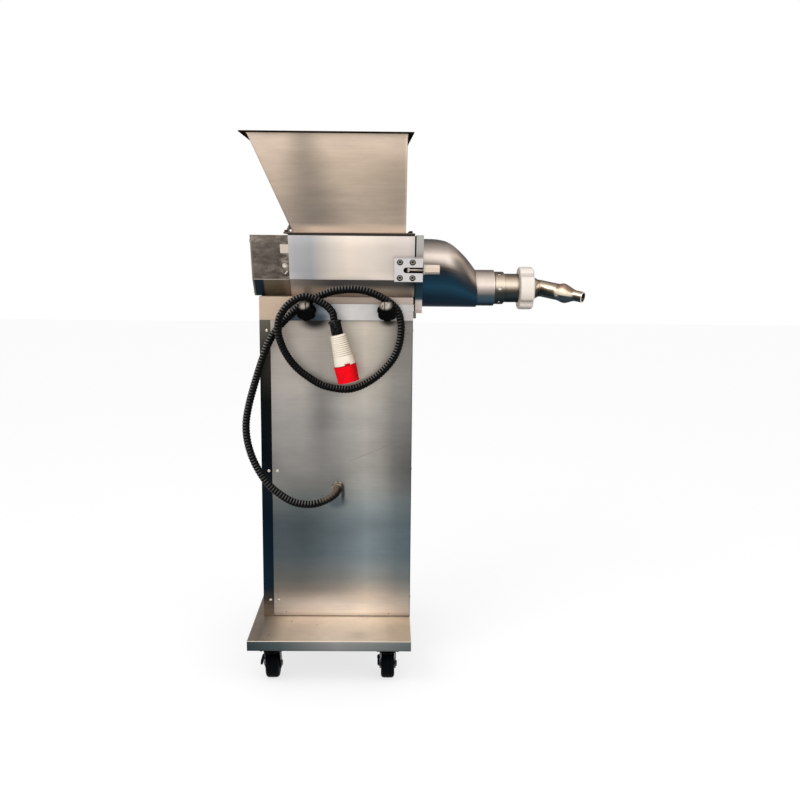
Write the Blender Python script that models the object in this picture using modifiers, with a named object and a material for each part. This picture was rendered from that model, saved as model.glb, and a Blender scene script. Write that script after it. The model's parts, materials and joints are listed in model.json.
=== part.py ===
"""A horizontal filling machine on four casters, in metres, +Z up.

A steel cabinet holds the gearmotor. On it stand a drive housing and a twin auger trough with its hopper.
The augers push to the right, into a domed outlet head that two swing bolts clamp to the trough, and on
through a pipe to a bent nozzle. The mains conduit leaves the front panel and hangs over two star knobs.

The machine's own frame has X to the right from the cabinet's left side, Y to the back from its front and Z
up from the floor. An empty carries everything, so that the origin lies under the middle of the machine.
"""

import math

import bmesh
import bpy
from mathutils import Matrix, Vector

# Fits shared by every piece
GAP = 0.0003
OVERRUN = 0.002
SHEET = 0.002
UP = Vector((0, 0, 1))
FLOW = Vector((1, 0, 0))
SMOOTH_ANGLE = math.radians(35)
BEVEL_ANGLE = math.radians(40)
PIN_STEPS = 16
BORE_STEPS = 24
SLOT_END_STEPS = 8

# Cabinet
CABINET_WIDTH = 0.400
CABINET_DEPTH = 0.240
PANEL_HEIGHT = 0.8107
BAND_HEIGHT = 0.0607
BAND_WALL = 0.003
BAND_TOP_PLATE = 0.004
COVER_FLANGE = 0.028
PANEL_RETURN = 0.015

# Base tray and casters
TRAY_HEIGHT = 0.027
TRAY_SHEET = 0.003
TRAY_LEFT_LEDGE = 0.022
TRAY_FRONT_LEDGE = 0.165
TRAY_EDGE = 0.001
RAIL_WIDTH = 0.060
RAIL_INSET = 0.005
CASTER_HEIGHT = 0.098
CASTER_SIDE_INSET = 0.060
CASTER_PLATE_WIDTH = 0.064
CASTER_PLATE_DEPTH = 0.058
CASTER_PLATE_THICK = 0.003
SWIVEL_RADIUS = 0.019
SWIVEL_HEIGHT = 0.006
FORK_CROWN_RADIUS = 0.0235
FORK_CROWN_HEIGHT = 0.005
FORK_SHEET = 0.003
FORK_LEG_WIDTH = 0.026
TRAIL = 0.026
WHEEL_RADIUS = 0.0375
WHEEL_WIDTH = 0.032
WHEEL_SHOULDER = 0.005
HUB_RADIUS = 0.013
HUB_WIDTH = 0.036
AXLE_RADIUS = 0.005
AXLE_HEAD_RADIUS = 0.008
AXLE_HEAD_THICK = 0.003
WHEEL_STEPS = 24
BRAKE_LENGTH = 0.034
BRAKE_WIDTH = 0.013
BRAKE_THICK = 0.005
BRAKE_PIN_RADIUS = 0.003
BRAKE_RISE = 0.004

# Strip and star knobs
STRIP_HEIGHT = 0.0435
STRIP_THICK = 0.008
KNOB_LEFT_SHARE = 0.314
KNOB_SPAN_SHARE = 0.51825
KNOB_RISE = 0.0265
KNOB_RADIUS = 0.0265
KNOB_LOBE_DEPTH = 0.0025
KNOB_LOBES = 6
KNOB_THICK = 0.022
KNOB_EDGE = 0.004
KNOB_STEM_RADIUS = 0.0065
KNOB_STEM_LENGTH = 0.028
KNOB_STUD_RADIUS = 0.004

# Trough, drive housing and their common cross section
NECK_HEIGHT = 0.0437
SIDE_HEIGHT = 0.113
TOP_HALF = 0.153
SIDE_HALF = 0.117
FOOT_HALF = 0.070
TROUGH_OVERHANG = 0.0025
FRONT_PLATE_THICK = 0.005
HOUSING_LEFT = -0.015
TROUGH_LEFT = 0.079
TROUGH_END_WALL = 0.012
HOUSING_WALL = 0.003
HOUSING_END_WALL = 0.006
DRIVE_COVER_THICK = 0.0025
TAB_LENGTH = 0.021
TAB_HEIGHT = 0.023
TAB_DROP = 0.024

# Augers, timing gears and belt drive
AUGER_DROP = 0.096
AUGER_SPACING = 0.084
AUGER_RADIUS = 0.0416
AUGER_BORE = 0.043
AUGER_CORE = 0.016
AUGER_END_ROOM = 0.0235
AUGER_TURNS = 5
AUGER_STEPS = 12
FLIGHT_THICK = 0.005
SHAFT_RADIUS = 0.010
GEAR_TEETH = 20
GEAR_WIDTH = 0.018
GEAR_PRESSURE_ANGLE = math.radians(20)
GEAR_ADDENDUM_SHARE = 0.8
GEAR_DEDENDUM_SHARE = 1.15
GEAR_BACKLASH = 0.0008
GEAR_HUB_RADIUS = 0.020
GEAR_HUB_LENGTH = 0.004
PULLEY_RADIUS = 0.019
PULLEY_WIDTH = 0.020
PULLEY_LEFT = 0.009
BELT_THICK = 0.003
BELT_WIDTH = 0.018
BELT_SLOT_MARGIN = 0.004
MOTOR_DROP = 0.438
MOTOR_LEFT = 0.060
MOTOR_SIDE_ROOM = 0.011
MOTOR_LENGTH = 0.200
MOTOR_EDGE = 0.006
MOTOR_FOOT_DROP = 0.020
MOTOR_FOOT_INSET = 0.010
MOTOR_FOOT_LENGTH = 0.140
MOTOR_SHAFT_RADIUS = 0.012
MOTOR_SHAFT_REACH = 0.030
SHELF_THICK = 0.004
SHELF_UPSTAND = 0.030
INVERTER_WIDTH = 0.120
INVERTER_DEPTH = 0.090
INVERTER_HEIGHT = 0.200
INVERTER_OFFSET = 0.010
INVERTER_DROP = 0.080
INVERTER_EDGE = 0.004

# Throat and hopper
THROAT_LEFT_INSET = 0.014
THROAT_RIGHT_INSET = 0.0255
THROAT_SIDE_INSET = 0.031
GASKET_THICK = 0.003
HOPPER_HEIGHT = 0.2524
HOPPER_WALL = 0.0025
HOPPER_FLANGE_THICK = 0.0035
HOPPER_FLANGE_REACH = 0.011
HOPPER_FLANGE_INSET = 0.003
HOPPER_LEFT_FLARE = 0.1165
HOPPER_RIGHT_FLARE = 0.0025
HOPPER_SIDE_FLARE = 0.0095
RIM_WIDTH = 0.016
RIM_THICK = 0.003
GUSSET_HEIGHT = 0.024
GUSSET_THICK = 0.004
GUSSET_INSET = 0.012

# Outlet head
HEAD_GASKET_THICK = 0.0026
END_PLATE_THICK = 0.019
END_PLATE_RISE = 0.0025
END_PLATE_DROP = 0.088
END_PLATE_CHAMFER = 0.010
DOME_RADIUS = 0.091
DOME_WALL = 0.005
DOME_DROP = 0.0957
DOME_STRAIGHT = 0.039
DOME_SHOULDER = 0.109
DOME_SECTIONS = 7
COLLAR_RADIUS = 0.0485
COLLAR_BORE = 0.043
COLLAR_LENGTH = 0.0475
OUTLET_DROP = 0.0388
REST_LENGTH = 0.010
REST_HALF = 0.030
REST_HEIGHT = 0.016
ROUND_STEPS = 28

# Ring nut, pipe and union nut on the outlet
RING_RADIUS = 0.044
RING_LENGTH = 0.027
RING_SPIGOT = 0.016
RING_HOLES = 6
RING_HOLE_RADIUS = 0.006
RING_HOLE_DEPTH = 0.0035
PIPE_RADIUS = 0.0387
PIPE_WALL = 0.0045
PIPE_FLANGE_THICK = 0.005
PIPE_SHOWN = 0.0325
PIPE_ENGAGED = 0.031
UNION_RADIUS = 0.0575
UNION_SIDES = 8
UNION_LENGTH = 0.047
UNION_CORNER = 0.008
UNION_LIP = 0.010

# Nozzle
NOZZLE_FLANGE_RADIUS = 0.038
NOZZLE_NECK_RADIUS = 0.031
NOZZLE_CONE_LENGTH = 0.023
CONE_MIDDLE_SHARE = 1 / 3
NOZZLE_PIPE_RADIUS = 0.0222
NOZZLE_TIP_RADIUS = 0.0145
NOZZLE_WALL = 0.002
NOZZLE_REACH = 0.125
NOZZLE_BEND_ANGLE = math.radians(35)
NOZZLE_ROLL_ANGLE = math.radians(16.6)
EAR_HALF_HEIGHT = 0.0275
EAR_HALF_DEPTH = 0.020
EAR_FOOT_SHARE = 0.42
EAR_LOW_SHARE = 0.54
EAR_HIGH_SHARE = 0.60
TIP_SHARE = 0.78

# Clamp of the outlet head: slot block, swing bolt and long nut
CLAMP_DROP = 0.0815
BLOCK_LENGTH = 0.0735
BLOCK_HEIGHT = 0.0625
BLOCK_THICK = 0.016
BLOCK_SHORT_OF_FACE = 0.0012
SCREW_HOLE_RADIUS = 0.0072
SCREW_HOLE_DEPTH = 0.006
SCREW_LEFT_INSET = 0.0145
SCREW_SPACING_X = 0.0325
SCREW_SPACING_Z = 0.042
SLOT_HEIGHT = 0.015
SLOT_LENGTH = 0.050
EYE_RADIUS = 0.0065
EYE_OFFSET = 0.003
EYE_SIDE_ROOM = 0.0015
PIN_RADIUS = 0.003
BOLT_RADIUS = 0.0048
WASHER_RADIUS = 0.014
WASHER_THICK = 0.0025
CLAMP_NUT_LENGTH = 0.039
CLAMP_NUT_CORNER = 0.0122
CLAMP_NUT_PHASE_ANGLE = math.radians(15)
NUT_SIDES = 6
SCREW_COLUMNS = 2
BOLT_END_INSET = 0.006

# Cable gland, mains conduit and plug
GLAND_SHARE = 0.50925
GLAND_RISE_SHARE = 0.45035
GLAND_HEX_CORNER = 0.0165
GLAND_HEX_THICK = 0.010
GLAND_CAP_RADIUS = 0.0135
GLAND_CAP_LENGTH = 0.014
GLAND_BORE = 0.0065
GLAND_THREAD_RADIUS = 0.008
GLAND_THREAD_LENGTH = 0.010
CONDUIT_RADIUS = 0.0102
CONDUIT_GROOVE = 0.0014
CONDUIT_BORE = 0.0065
CONDUIT_RIBS = 130
CONDUIT_BORE_POINTS = 52
SLEEVE_RADIUS = 0.0150
SLEEVE_LENGTH = 0.036
SLEEVE_LIP_RADIUS = 0.0168
SLEEVE_LIP_LENGTH = 0.006
PLUG_TOP_RADIUS = 0.0200
PLUG_BOTTOM_RADIUS = 0.0272
PLUG_LENGTH = 0.080
PLUG_RIBS = 5
PLUG_RIB_SHARE = 0.62
PLUG_RIB_DEPTH = 0.0012
PLUG_EDGE = 0.003
COLLAR_TOP_RADIUS = 0.0295
COLLAR_END_RADIUS = 0.0275
COLLAR_PLUG_LENGTH = 0.044
COLLAR_PLUG_WALL = 0.003
CONTACT_DISC_THICK = 0.008
CONTACT_RADIUS = 0.003
CONTACT_LENGTH = 0.026
CONTACT_CIRCLE = 0.0135
CONTACT_COUNT = 5
CONTACT_STEPS = 8

# Levels and places that follow
TRAY_BOTTOM = CASTER_HEIGHT
TRAY_TOP = TRAY_BOTTOM + TRAY_HEIGHT
PANEL_BOTTOM = TRAY_TOP + GAP
PANEL_TOP = PANEL_BOTTOM + PANEL_HEIGHT
BAND_BOTTOM = PANEL_TOP + GAP
BAND_TOP = BAND_BOTTOM + BAND_HEIGHT
FOOT_LEVEL = BAND_TOP + GAP
SIDE_LEVEL = FOOT_LEVEL + NECK_HEIGHT
TROUGH_TOP = SIDE_LEVEL + SIDE_HEIGHT
HOPPER_BOTTOM = TROUGH_TOP + GAP + GASKET_THICK + GAP
RIM_TOP = HOPPER_BOTTOM + HOPPER_HEIGHT
MIDDLE = CABINET_DEPTH / 2
TROUGH_RIGHT = CABINET_WIDTH + TROUGH_OVERHANG
STRIP_LEFT = TROUGH_LEFT
KNOB_LEFT_X = KNOB_LEFT_SHARE * CABINET_WIDTH
KNOB_SPAN = KNOB_SPAN_SHARE * CABINET_WIDTH
GLAND_X = GLAND_SHARE * CABINET_WIDTH
AUGER_PITCH = (TROUGH_RIGHT - TROUGH_LEFT - AUGER_END_ROOM) / AUGER_TURNS
THROAT_LEFT = TROUGH_LEFT + THROAT_LEFT_INSET
THROAT_RIGHT = TROUGH_RIGHT - THROAT_RIGHT_INSET
THROAT_HALF = TOP_HALF - THROAT_SIDE_INSET
HOPPER_FLANGE_LEFT = TROUGH_LEFT - HOPPER_FLANGE_REACH
HOPPER_FLANGE_HALF = TOP_HALF - HOPPER_FLANGE_INSET
HOPPER_FOOT_LEFT = THROAT_LEFT - HOPPER_WALL
HOPPER_FOOT_RIGHT = THROAT_RIGHT + HOPPER_WALL
HOPPER_FOOT_HALF = THROAT_HALF + HOPPER_WALL
HOPPER_MOUTH_LEFT = HOPPER_FOOT_LEFT - HOPPER_LEFT_FLARE
HOPPER_MOUTH_RIGHT = HOPPER_FOOT_RIGHT + HOPPER_RIGHT_FLARE
HOPPER_MOUTH_HALF = HOPPER_FOOT_HALF + HOPPER_SIDE_FLARE
TRAY_LEFT = -TRAY_LEFT_LEDGE
TRAY_FRONT = -TRAY_FRONT_LEDGE
TRAY_BACK = CABINET_DEPTH + TRAY_FRONT_LEDGE
SIDE_LEAN = math.atan2(TOP_HALF - SIDE_HALF, SIDE_HEIGHT)
FRONT_PLATE_SHIFT = (FRONT_PLATE_THICK + GAP) / math.cos(SIDE_LEAN)
AUGER_LEVEL = TROUGH_TOP - AUGER_DROP
FRONT_AUGER_Y = MIDDLE - AUGER_SPACING / 2
REAR_AUGER_Y = MIDDLE + AUGER_SPACING / 2
MOTOR_LEVEL = AUGER_LEVEL - MOTOR_DROP
MOTOR_RADIUS = FRONT_AUGER_Y - SHEET - MOTOR_SIDE_ROOM
MOTOR_FOOT_HEIGHT = MOTOR_RADIUS + MOTOR_FOOT_DROP
MOTOR_FOOT_HALF = MOTOR_RADIUS - MOTOR_FOOT_INSET
INVERTER_LEFT = CABINET_WIDTH / 2 + INVERTER_OFFSET
END_PLATE_LEFT = TROUGH_RIGHT + GAP + HEAD_GASKET_THICK + GAP
END_PLATE_RIGHT = END_PLATE_LEFT + END_PLATE_THICK
DOME_LEVEL = TROUGH_TOP - DOME_DROP
DOME_END = END_PLATE_RIGHT + DOME_STRAIGHT + DOME_SHOULDER
COLLAR_END = DOME_END + COLLAR_LENGTH
OUTLET_LEVEL = DOME_LEVEL - OUTLET_DROP
RING_LEFT = COLLAR_END + GAP
RING_RIGHT = RING_LEFT + RING_LENGTH
UNION_LEFT = RING_RIGHT + PIPE_SHOWN
UNION_RIGHT = UNION_LEFT + UNION_LENGTH
PIPE_END = UNION_LEFT + PIPE_ENGAGED
NOZZLE_LEFT = PIPE_END + GAP
BEND_X = UNION_RIGHT + NOZZLE_CONE_LENGTH
CLAMP_LEVEL = TROUGH_TOP - CLAMP_DROP
KNOB_LEVEL = BAND_BOTTOM + KNOB_RISE
GLAND_LEVEL = PANEL_BOTTOM + GLAND_RISE_SHARE * PANEL_HEIGHT
NOZZLE_AXIS = Vector((
    math.cos(NOZZLE_BEND_ANGLE),
    -math.sin(NOZZLE_BEND_ANGLE) * math.cos(NOZZLE_ROLL_ANGLE),
    -math.sin(NOZZLE_BEND_ANGLE) * math.sin(NOZZLE_ROLL_ANGLE),
))
BEND_POINT = Vector((BEND_X, MIDDLE, OUTLET_LEVEL))
NOZZLE_END = BEND_POINT + NOZZLE_REACH * NOZZLE_AXIS

# The conduit's route on a cabinet of the route's own width and height: out of the gland, round the left
# knob's stem, over the right knob, down into a loop that leans on the front panel, up again and over the
# left knob's head
ROUTE_WIDTH = 0.400
ROUTE_HEIGHT = 0.8107
ROUTE_FLOOR = 0.1253
ROUTE_END = (0.1983, -0.0500, 0.9398)
CONDUIT_ROUTE = (
    (0.200, -0.0665, 0.489),
    (0.187, -0.0845, 0.483),
    (0.160, -0.0955, 0.473),
    (0.132, -0.0960, 0.469),
    (0.098, -0.0940, 0.473),
    (0.067, -0.0900, 0.488),
    (0.033, -0.0840, 0.514),
    (0.007, -0.0770, 0.547),
    (-0.014, -0.0700, 0.587),
    (-0.027, -0.0630, 0.631),
    (-0.030, -0.0570, 0.674),
    (-0.023, -0.0510, 0.720),
    (-0.010, -0.0450, 0.769),
    (0.008, -0.0380, 0.828),
    (0.025, -0.0310, 0.874),
    (0.042, -0.0270, 0.905),
    (0.059, -0.0240, 0.927),
    (0.082, -0.0230, 0.950),
    (0.108, -0.0230, 0.973),
    (0.132, -0.0235, 0.988),
    (0.155, -0.0250, 0.999),
    (0.176, -0.0260, 1.007),
    (0.199, -0.0270, 1.014),
    (0.234, -0.0270, 1.018),
    (0.262, -0.0265, 1.017),
    (0.286, -0.0260, 1.012),
    (0.309, -0.0240, 1.003),
    (0.329, -0.0230, 0.992),
    (0.347, -0.0230, 0.979),
    (0.360, -0.0235, 0.963),
    (0.367, -0.0250, 0.941),
    (0.369, -0.0270, 0.913),
    (0.365, -0.0280, 0.882),
    (0.355, -0.0270, 0.852),
    (0.336, -0.0250, 0.823),
    (0.307, -0.0210, 0.794),
    (0.271, -0.0170, 0.770),
    (0.234, -0.0145, 0.758),
    (0.197, -0.0145, 0.760),
    (0.161, -0.0170, 0.770),
    (0.128, -0.0230, 0.791),
    (0.100, -0.0300, 0.815),
    (0.078, -0.0380, 0.844),
    (0.063, -0.0460, 0.876),
    (0.055, -0.0530, 0.910),
    (0.058, -0.0560, 0.943),
    (0.074, -0.0560, 0.971),
    (0.096, -0.0540, 0.990),
    (0.122, -0.0520, 1.000),
    (0.144, -0.0510, 0.996),
    (0.164, -0.0505, 0.986),
    (0.181, -0.0500, 0.975),
)
CONDUIT_START = Vector((GLAND_X, -(2 * GAP + GLAND_HEX_THICK + GLAND_CAP_LENGTH), GLAND_LEVEL))
CONDUIT_OUTWARD = Vector((0, -1, 0))
PLUG_DIRECTION = Vector((0.228, 0, -0.974)).normalized()


def on_route(x, y, level):
    """A point of the route, moved with the cabinet's width and height."""
    rise = (level - ROUTE_FLOOR) * PANEL_HEIGHT / ROUTE_HEIGHT
    return Vector((x * CABINET_WIDTH / ROUTE_WIDTH, y, PANEL_BOTTOM + rise))


CONDUIT_END = on_route(*ROUTE_END)


def clear_scene():
    for obj in list(bpy.data.objects):
        bpy.data.objects.remove(obj)


def new_collection(name):
    found = bpy.data.collections.new(name)
    bpy.context.scene.collection.children.link(found)
    return found


clear_scene()
MACHINE = new_collection("filling_machine")
CUTTERS = new_collection("cutters")
ROOT = bpy.data.objects.new("machine_frame", None)
MACHINE.objects.link(ROOT)


def finish(name, colour, roughness, metallic=0.0):
    """A Principled material of one colour."""
    look = bpy.data.materials.new(name)
    look.use_nodes = True
    shader = look.node_tree.nodes["Principled BSDF"]
    shader.inputs["Base Color"].default_value = (*colour, 1)
    shader.inputs["Roughness"].default_value = roughness
    shader.inputs["Metallic"].default_value = metallic
    return look


BRUSHED = finish("brushed_steel", (0.46, 0.40, 0.34), 0.35, 1.0)
BRIGHT = finish("bright_steel", (0.66, 0.63, 0.58), 0.25, 1.0)
DARK_STEEL = finish("dark_steel", (0.16, 0.14, 0.12), 0.4, 1.0)
PANEL_STEEL = finish("panel_steel", (0.33, 0.31, 0.28), 0.4, 1.0)
CAST_STEEL = finish("satin_steel", (0.42, 0.38, 0.35), 0.3, 1.0)
WHITE_PLASTIC = finish("white_plastic", (0.86, 0.80, 0.75), 0.4)
BLACK_PLASTIC = finish("black_plastic", (0.012, 0.012, 0.013), 0.3)
BLACK_RUBBER = finish("black_rubber", (0.02, 0.02, 0.02), 0.6)
IVORY_PLASTIC = finish("ivory_plastic", (0.85, 0.76, 0.62), 0.45)
RED_PLASTIC = finish("red_plastic", (0.80, 0.01, 0.02), 0.35)
NICKEL = finish("nickel_brass", (0.60, 0.50, 0.34), 0.3, 1.0)
GASKET_RUBBER = finish("gasket_rubber", (0.05, 0.05, 0.05), 0.7)
PAINTED = finish("motor_paint", (0.10, 0.16, 0.22), 0.5)
BRASS = finish("contact_brass", (0.70, 0.50, 0.20), 0.3, 1.0)


def at(x, y, z):
    return Matrix.Translation((x, y, z))


def along_x(x, y, z):
    """A frame whose local X, Y and Z are the machine's Y, Z and X, for what runs along X."""
    return at(x, y, z) @ Matrix(((0, 0, 1, 0), (1, 0, 0, 0), (0, 1, 0, 0), (0, 0, 0, 1)))


def along_y(x, y, z):
    """A frame whose local X, Y and Z are the machine's X, Z and -Y, so that local Z points to the front."""
    return at(x, y, z) @ Matrix(((1, 0, 0, 0), (0, 0, -1, 0), (0, 1, 0, 0), (0, 0, 0, 1)))


def along(start, direction):
    """A frame at start whose local Z points along direction."""
    return Matrix.Translation(start) @ direction.to_track_quat("Z", "Y").to_matrix().to_4x4()


def place(name, mesh, look, frame):
    obj = bpy.data.objects.new(name, mesh)
    MACHINE.objects.link(obj)
    obj.parent = ROOT
    obj.matrix_local = frame
    if not mesh.materials:
        mesh.materials.append(look)
    mesh.shade_smooth()
    mesh.set_sharp_from_angle(angle=SMOOTH_ANGLE)
    return obj


def mesh_of(bm, name):
    mesh = bpy.data.meshes.new(name)
    bm.to_mesh(mesh)
    bm.free()
    return mesh


def rounded(obj, width, segments=2):
    if width:
        bevel = obj.modifiers.new("edges", "BEVEL")
        bevel.width = width
        bevel.segments = segments
        bevel.limit_method = "ANGLE"
        bevel.angle_limit = BEVEL_ANGLE
    return obj


def block(name, low, high, look, frame=None, edge=0.0, segments=1):
    """A box between two corners, with its edges broken."""
    low = Vector(low)
    high = Vector(high)
    bm = bmesh.new()
    bmesh.ops.create_cube(bm, size=1)
    bmesh.ops.transform(
        bm, matrix=Matrix.Translation((low + high) / 2) @ Matrix.Diagonal((*(high - low), 1)), verts=bm.verts
    )
    return rounded(place(name, mesh_of(bm, name), look, frame or Matrix()), edge, segments)


def taper(name, bottom, top, look):
    """A block between two level rectangles, each (x0, x1, y0, y1, z)."""
    bm = bmesh.new()
    bmesh.ops.create_cube(bm, size=1)
    for vert in bm.verts:
        x0, x1, y0, y1, z = top if vert.co.z > 0 else bottom
        vert.co = (x1 if vert.co.x > 0 else x0, y1 if vert.co.y > 0 else y0, z)
    return place(name, mesh_of(bm, name), look, Matrix())


def cylinder(name, radius, length, look, frame, steps=ROUND_STEPS, end_radius=None):
    """A cylinder or cone from the frame's origin along its Z."""
    bm = bmesh.new()
    bmesh.ops.create_cone(
        bm,
        cap_ends=True,
        segments=steps,
        radius1=radius,
        radius2=radius if end_radius is None else end_radius,
        depth=length,
        matrix=at(0, 0, length / 2),
    )
    return place(name, mesh_of(bm, name), look, frame)


def turned(name, profile, look, frame, steps=ROUND_STEPS, bore=False):
    """A turned piece: its profile goes up its outer side as (radius, height), and down any bore."""
    mesh = bpy.data.meshes.new(name)
    points = [(radius, 0, height) for radius, height in reversed(profile)]
    edges = [(i, i + 1) for i in range(len(points) - 1)]
    if bore:
        edges.append((len(points) - 1, 0))
    mesh.from_pydata(points, edges, [])
    obj = place(name, mesh, look, frame)
    screw = obj.modifiers.new("turn", "SCREW")
    screw.steps = steps
    screw.render_steps = steps
    screw.use_merge_vertices = True
    screw.merge_threshold = 0.00001
    screw.use_smooth_shade = True
    return obj


def baked(obj):
    """The object with its modifiers or its curve made a plain welded mesh."""
    bpy.context.view_layer.update()
    evaluated = obj.evaluated_get(bpy.context.evaluated_depsgraph_get())
    mesh = bpy.data.meshes.new_from_object(evaluated)
    bm = bmesh.new()
    bm.from_mesh(mesh)
    bmesh.ops.remove_doubles(bm, verts=bm.verts, dist=GAP / 100)
    bmesh.ops.recalc_face_normals(bm, faces=bm.faces)
    bm.to_mesh(mesh)
    bm.free()
    name = obj.name
    frame = obj.matrix_local.copy()
    bpy.data.objects.remove(obj)
    return place(name, mesh, mesh.materials[0], frame)


def extruded(name, outlines, length, look, frame):
    """A flat outline, with any holes after it, extruded from the frame's origin along its Z."""
    curve = bpy.data.curves.new(name, "CURVE")
    curve.dimensions = "2D"
    curve.fill_mode = "BOTH"
    curve.extrude = length / 2
    curve.materials.append(look)
    for outline in outlines:
        spline = curve.splines.new("POLY")
        spline.points.add(len(outline) - 1)
        spline.use_cyclic_u = True
        for point, (x, y) in zip(spline.points, outline):
            point.co = (x, y, 0, 1)
    obj = bpy.data.objects.new(name, curve)
    MACHINE.objects.link(obj)
    obj.parent = ROOT
    obj.matrix_local = frame @ at(0, 0, length / 2)
    return baked(obj)


def lofted(name, rings, look, origin=Vector()):
    """A skin through rings of as many points each, closed at both ends, about an origin of its own."""
    bm = bmesh.new()
    rows = [[bm.verts.new(point - origin) for point in ring] for ring in rings]
    count = len(rows[0])
    for lower, upper in zip(rows, rows[1:]):
        for i in range(count):
            j = (i + 1) % count
            bm.faces.new((lower[i], lower[j], upper[j], upper[i]))
    bm.faces.new(reversed(rows[0]))
    bm.faces.new(rows[-1])
    bmesh.ops.recalc_face_normals(bm, faces=bm.faces)
    return place(name, mesh_of(bm, name), look, Matrix.Translation(origin))


def set_aside(tool):
    """Keeps a cutter or a joined-on shape out of the model."""
    tool.hide_render = True
    tool.display_type = "WIRE"
    MACHINE.objects.unlink(tool)
    CUTTERS.objects.link(tool)


def combine(obj, tools, operation):
    for tool in tools:
        change = obj.modifiers.new(tool.name, "BOOLEAN")
        change.operation = operation
        change.solver = "EXACT"
        change.object = tool
        set_aside(tool)
    return obj


def cut(obj, *tools):
    return combine(obj, tools, "DIFFERENCE")


def join(obj, *tools):
    return combine(obj, tools, "UNION")


def circle(radius, steps, phase=0.0, centre=(0.0, 0.0)):
    turn = 2 * math.pi / steps
    return [
        (centre[0] + radius * math.cos(phase + i * turn), centre[1] + radius * math.sin(phase + i * turn))
        for i in range(steps)
    ]


def stadium(radius, length, steps=SLOT_END_STEPS):
    """A slot outline from the origin along +X, round at both ends."""
    turn = math.pi / steps
    right = [(length + radius * math.sin(i * turn), -radius * math.cos(i * turn)) for i in range(steps + 1)]
    left = [(-radius * math.sin(i * turn), radius * math.cos(i * turn)) for i in range(steps + 1)]
    return right + left


def half_width(level):
    """Half the trough's outer width at a level on its leaning sides."""
    return SIDE_HALF + (TOP_HALF - SIDE_HALF) * (level - SIDE_LEVEL) / SIDE_HEIGHT


def face_frame(side, x, level):
    """On the trough's outer plane: local X along the machine, Y into the trough, Z up the front face."""
    lean = SIDE_LEAN if side == "front" else math.pi - SIDE_LEAN
    reach = half_width(level)
    y = MIDDLE - reach if side == "front" else MIDDLE + reach
    return at(x, y, level) @ Matrix.Rotation(lean, 4, "X")


def casing_outline(inset, floor):
    """The section of trough and housing, kept back behind the front plate, as (y, z) from the middle."""
    front_top = -(TOP_HALF - FRONT_PLATE_SHIFT - inset)
    front_side = -(SIDE_HALF - FRONT_PLATE_SHIFT - inset)
    foot = FOOT_HALF - inset
    return [
        (front_top, TROUGH_TOP - inset),
        (front_side, SIDE_LEVEL),
        (-foot, FOOT_LEVEL + floor),
        (foot, FOOT_LEVEL + floor),
        (SIDE_HALF - inset, SIDE_LEVEL),
        (TOP_HALF - inset, TROUGH_TOP - inset),
    ]


# Base tray and casters


def build_base_tray():
    tray = block(
        "base_tray",
        (TRAY_LEFT, TRAY_FRONT, TRAY_BOTTOM + GAP),
        (CABINET_WIDTH, TRAY_BACK, TRAY_TOP),
        BRUSHED,
        edge=TRAY_EDGE,
    )
    rail_front = TRAY_FRONT + TRAY_SHEET + RAIL_INSET
    rail_back = TRAY_BACK - TRAY_SHEET - RAIL_INSET
    hollow = block(
        "tray_hollow",
        (TRAY_LEFT + TRAY_SHEET, TRAY_FRONT + TRAY_SHEET, TRAY_BOTTOM - OVERRUN),
        (CABINET_WIDTH - TRAY_SHEET, TRAY_BACK - TRAY_SHEET, TRAY_TOP - TRAY_SHEET),
        BRUSHED,
    )
    rails = [
        block(
            f"tray_rail_{end}",
            (TRAY_LEFT + TRAY_SHEET / 2, low, TRAY_BOTTOM),
            (CABINET_WIDTH - TRAY_SHEET / 2, low + RAIL_WIDTH, TRAY_TOP - TRAY_SHEET / 2),
            BRUSHED,
        )
        for end, low in (("front", rail_front), ("rear", rail_back - RAIL_WIDTH))
    ]
    join(cut(tray, hollow), *rails)
    return rail_front + RAIL_WIDTH / 2, rail_back - RAIL_WIDTH / 2


def fork_leg_outline(axle_drop, way):
    """From the crown down to the axle, round at the foot, in (y, z) from the swivel."""
    half = FORK_LEG_WIDTH / 2
    foot_steps = 6
    turn = math.pi / foot_steps
    foot = [
        (TRAIL - half * math.cos(i * turn), -axle_drop - half * math.sin(i * turn))
        for i in range(foot_steps + 1)
    ]
    outline = [(-FORK_CROWN_RADIUS / 2, 0), *foot, (FORK_CROWN_RADIUS, 0)]
    return [(way * y, z) for y, z in outline]


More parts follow.
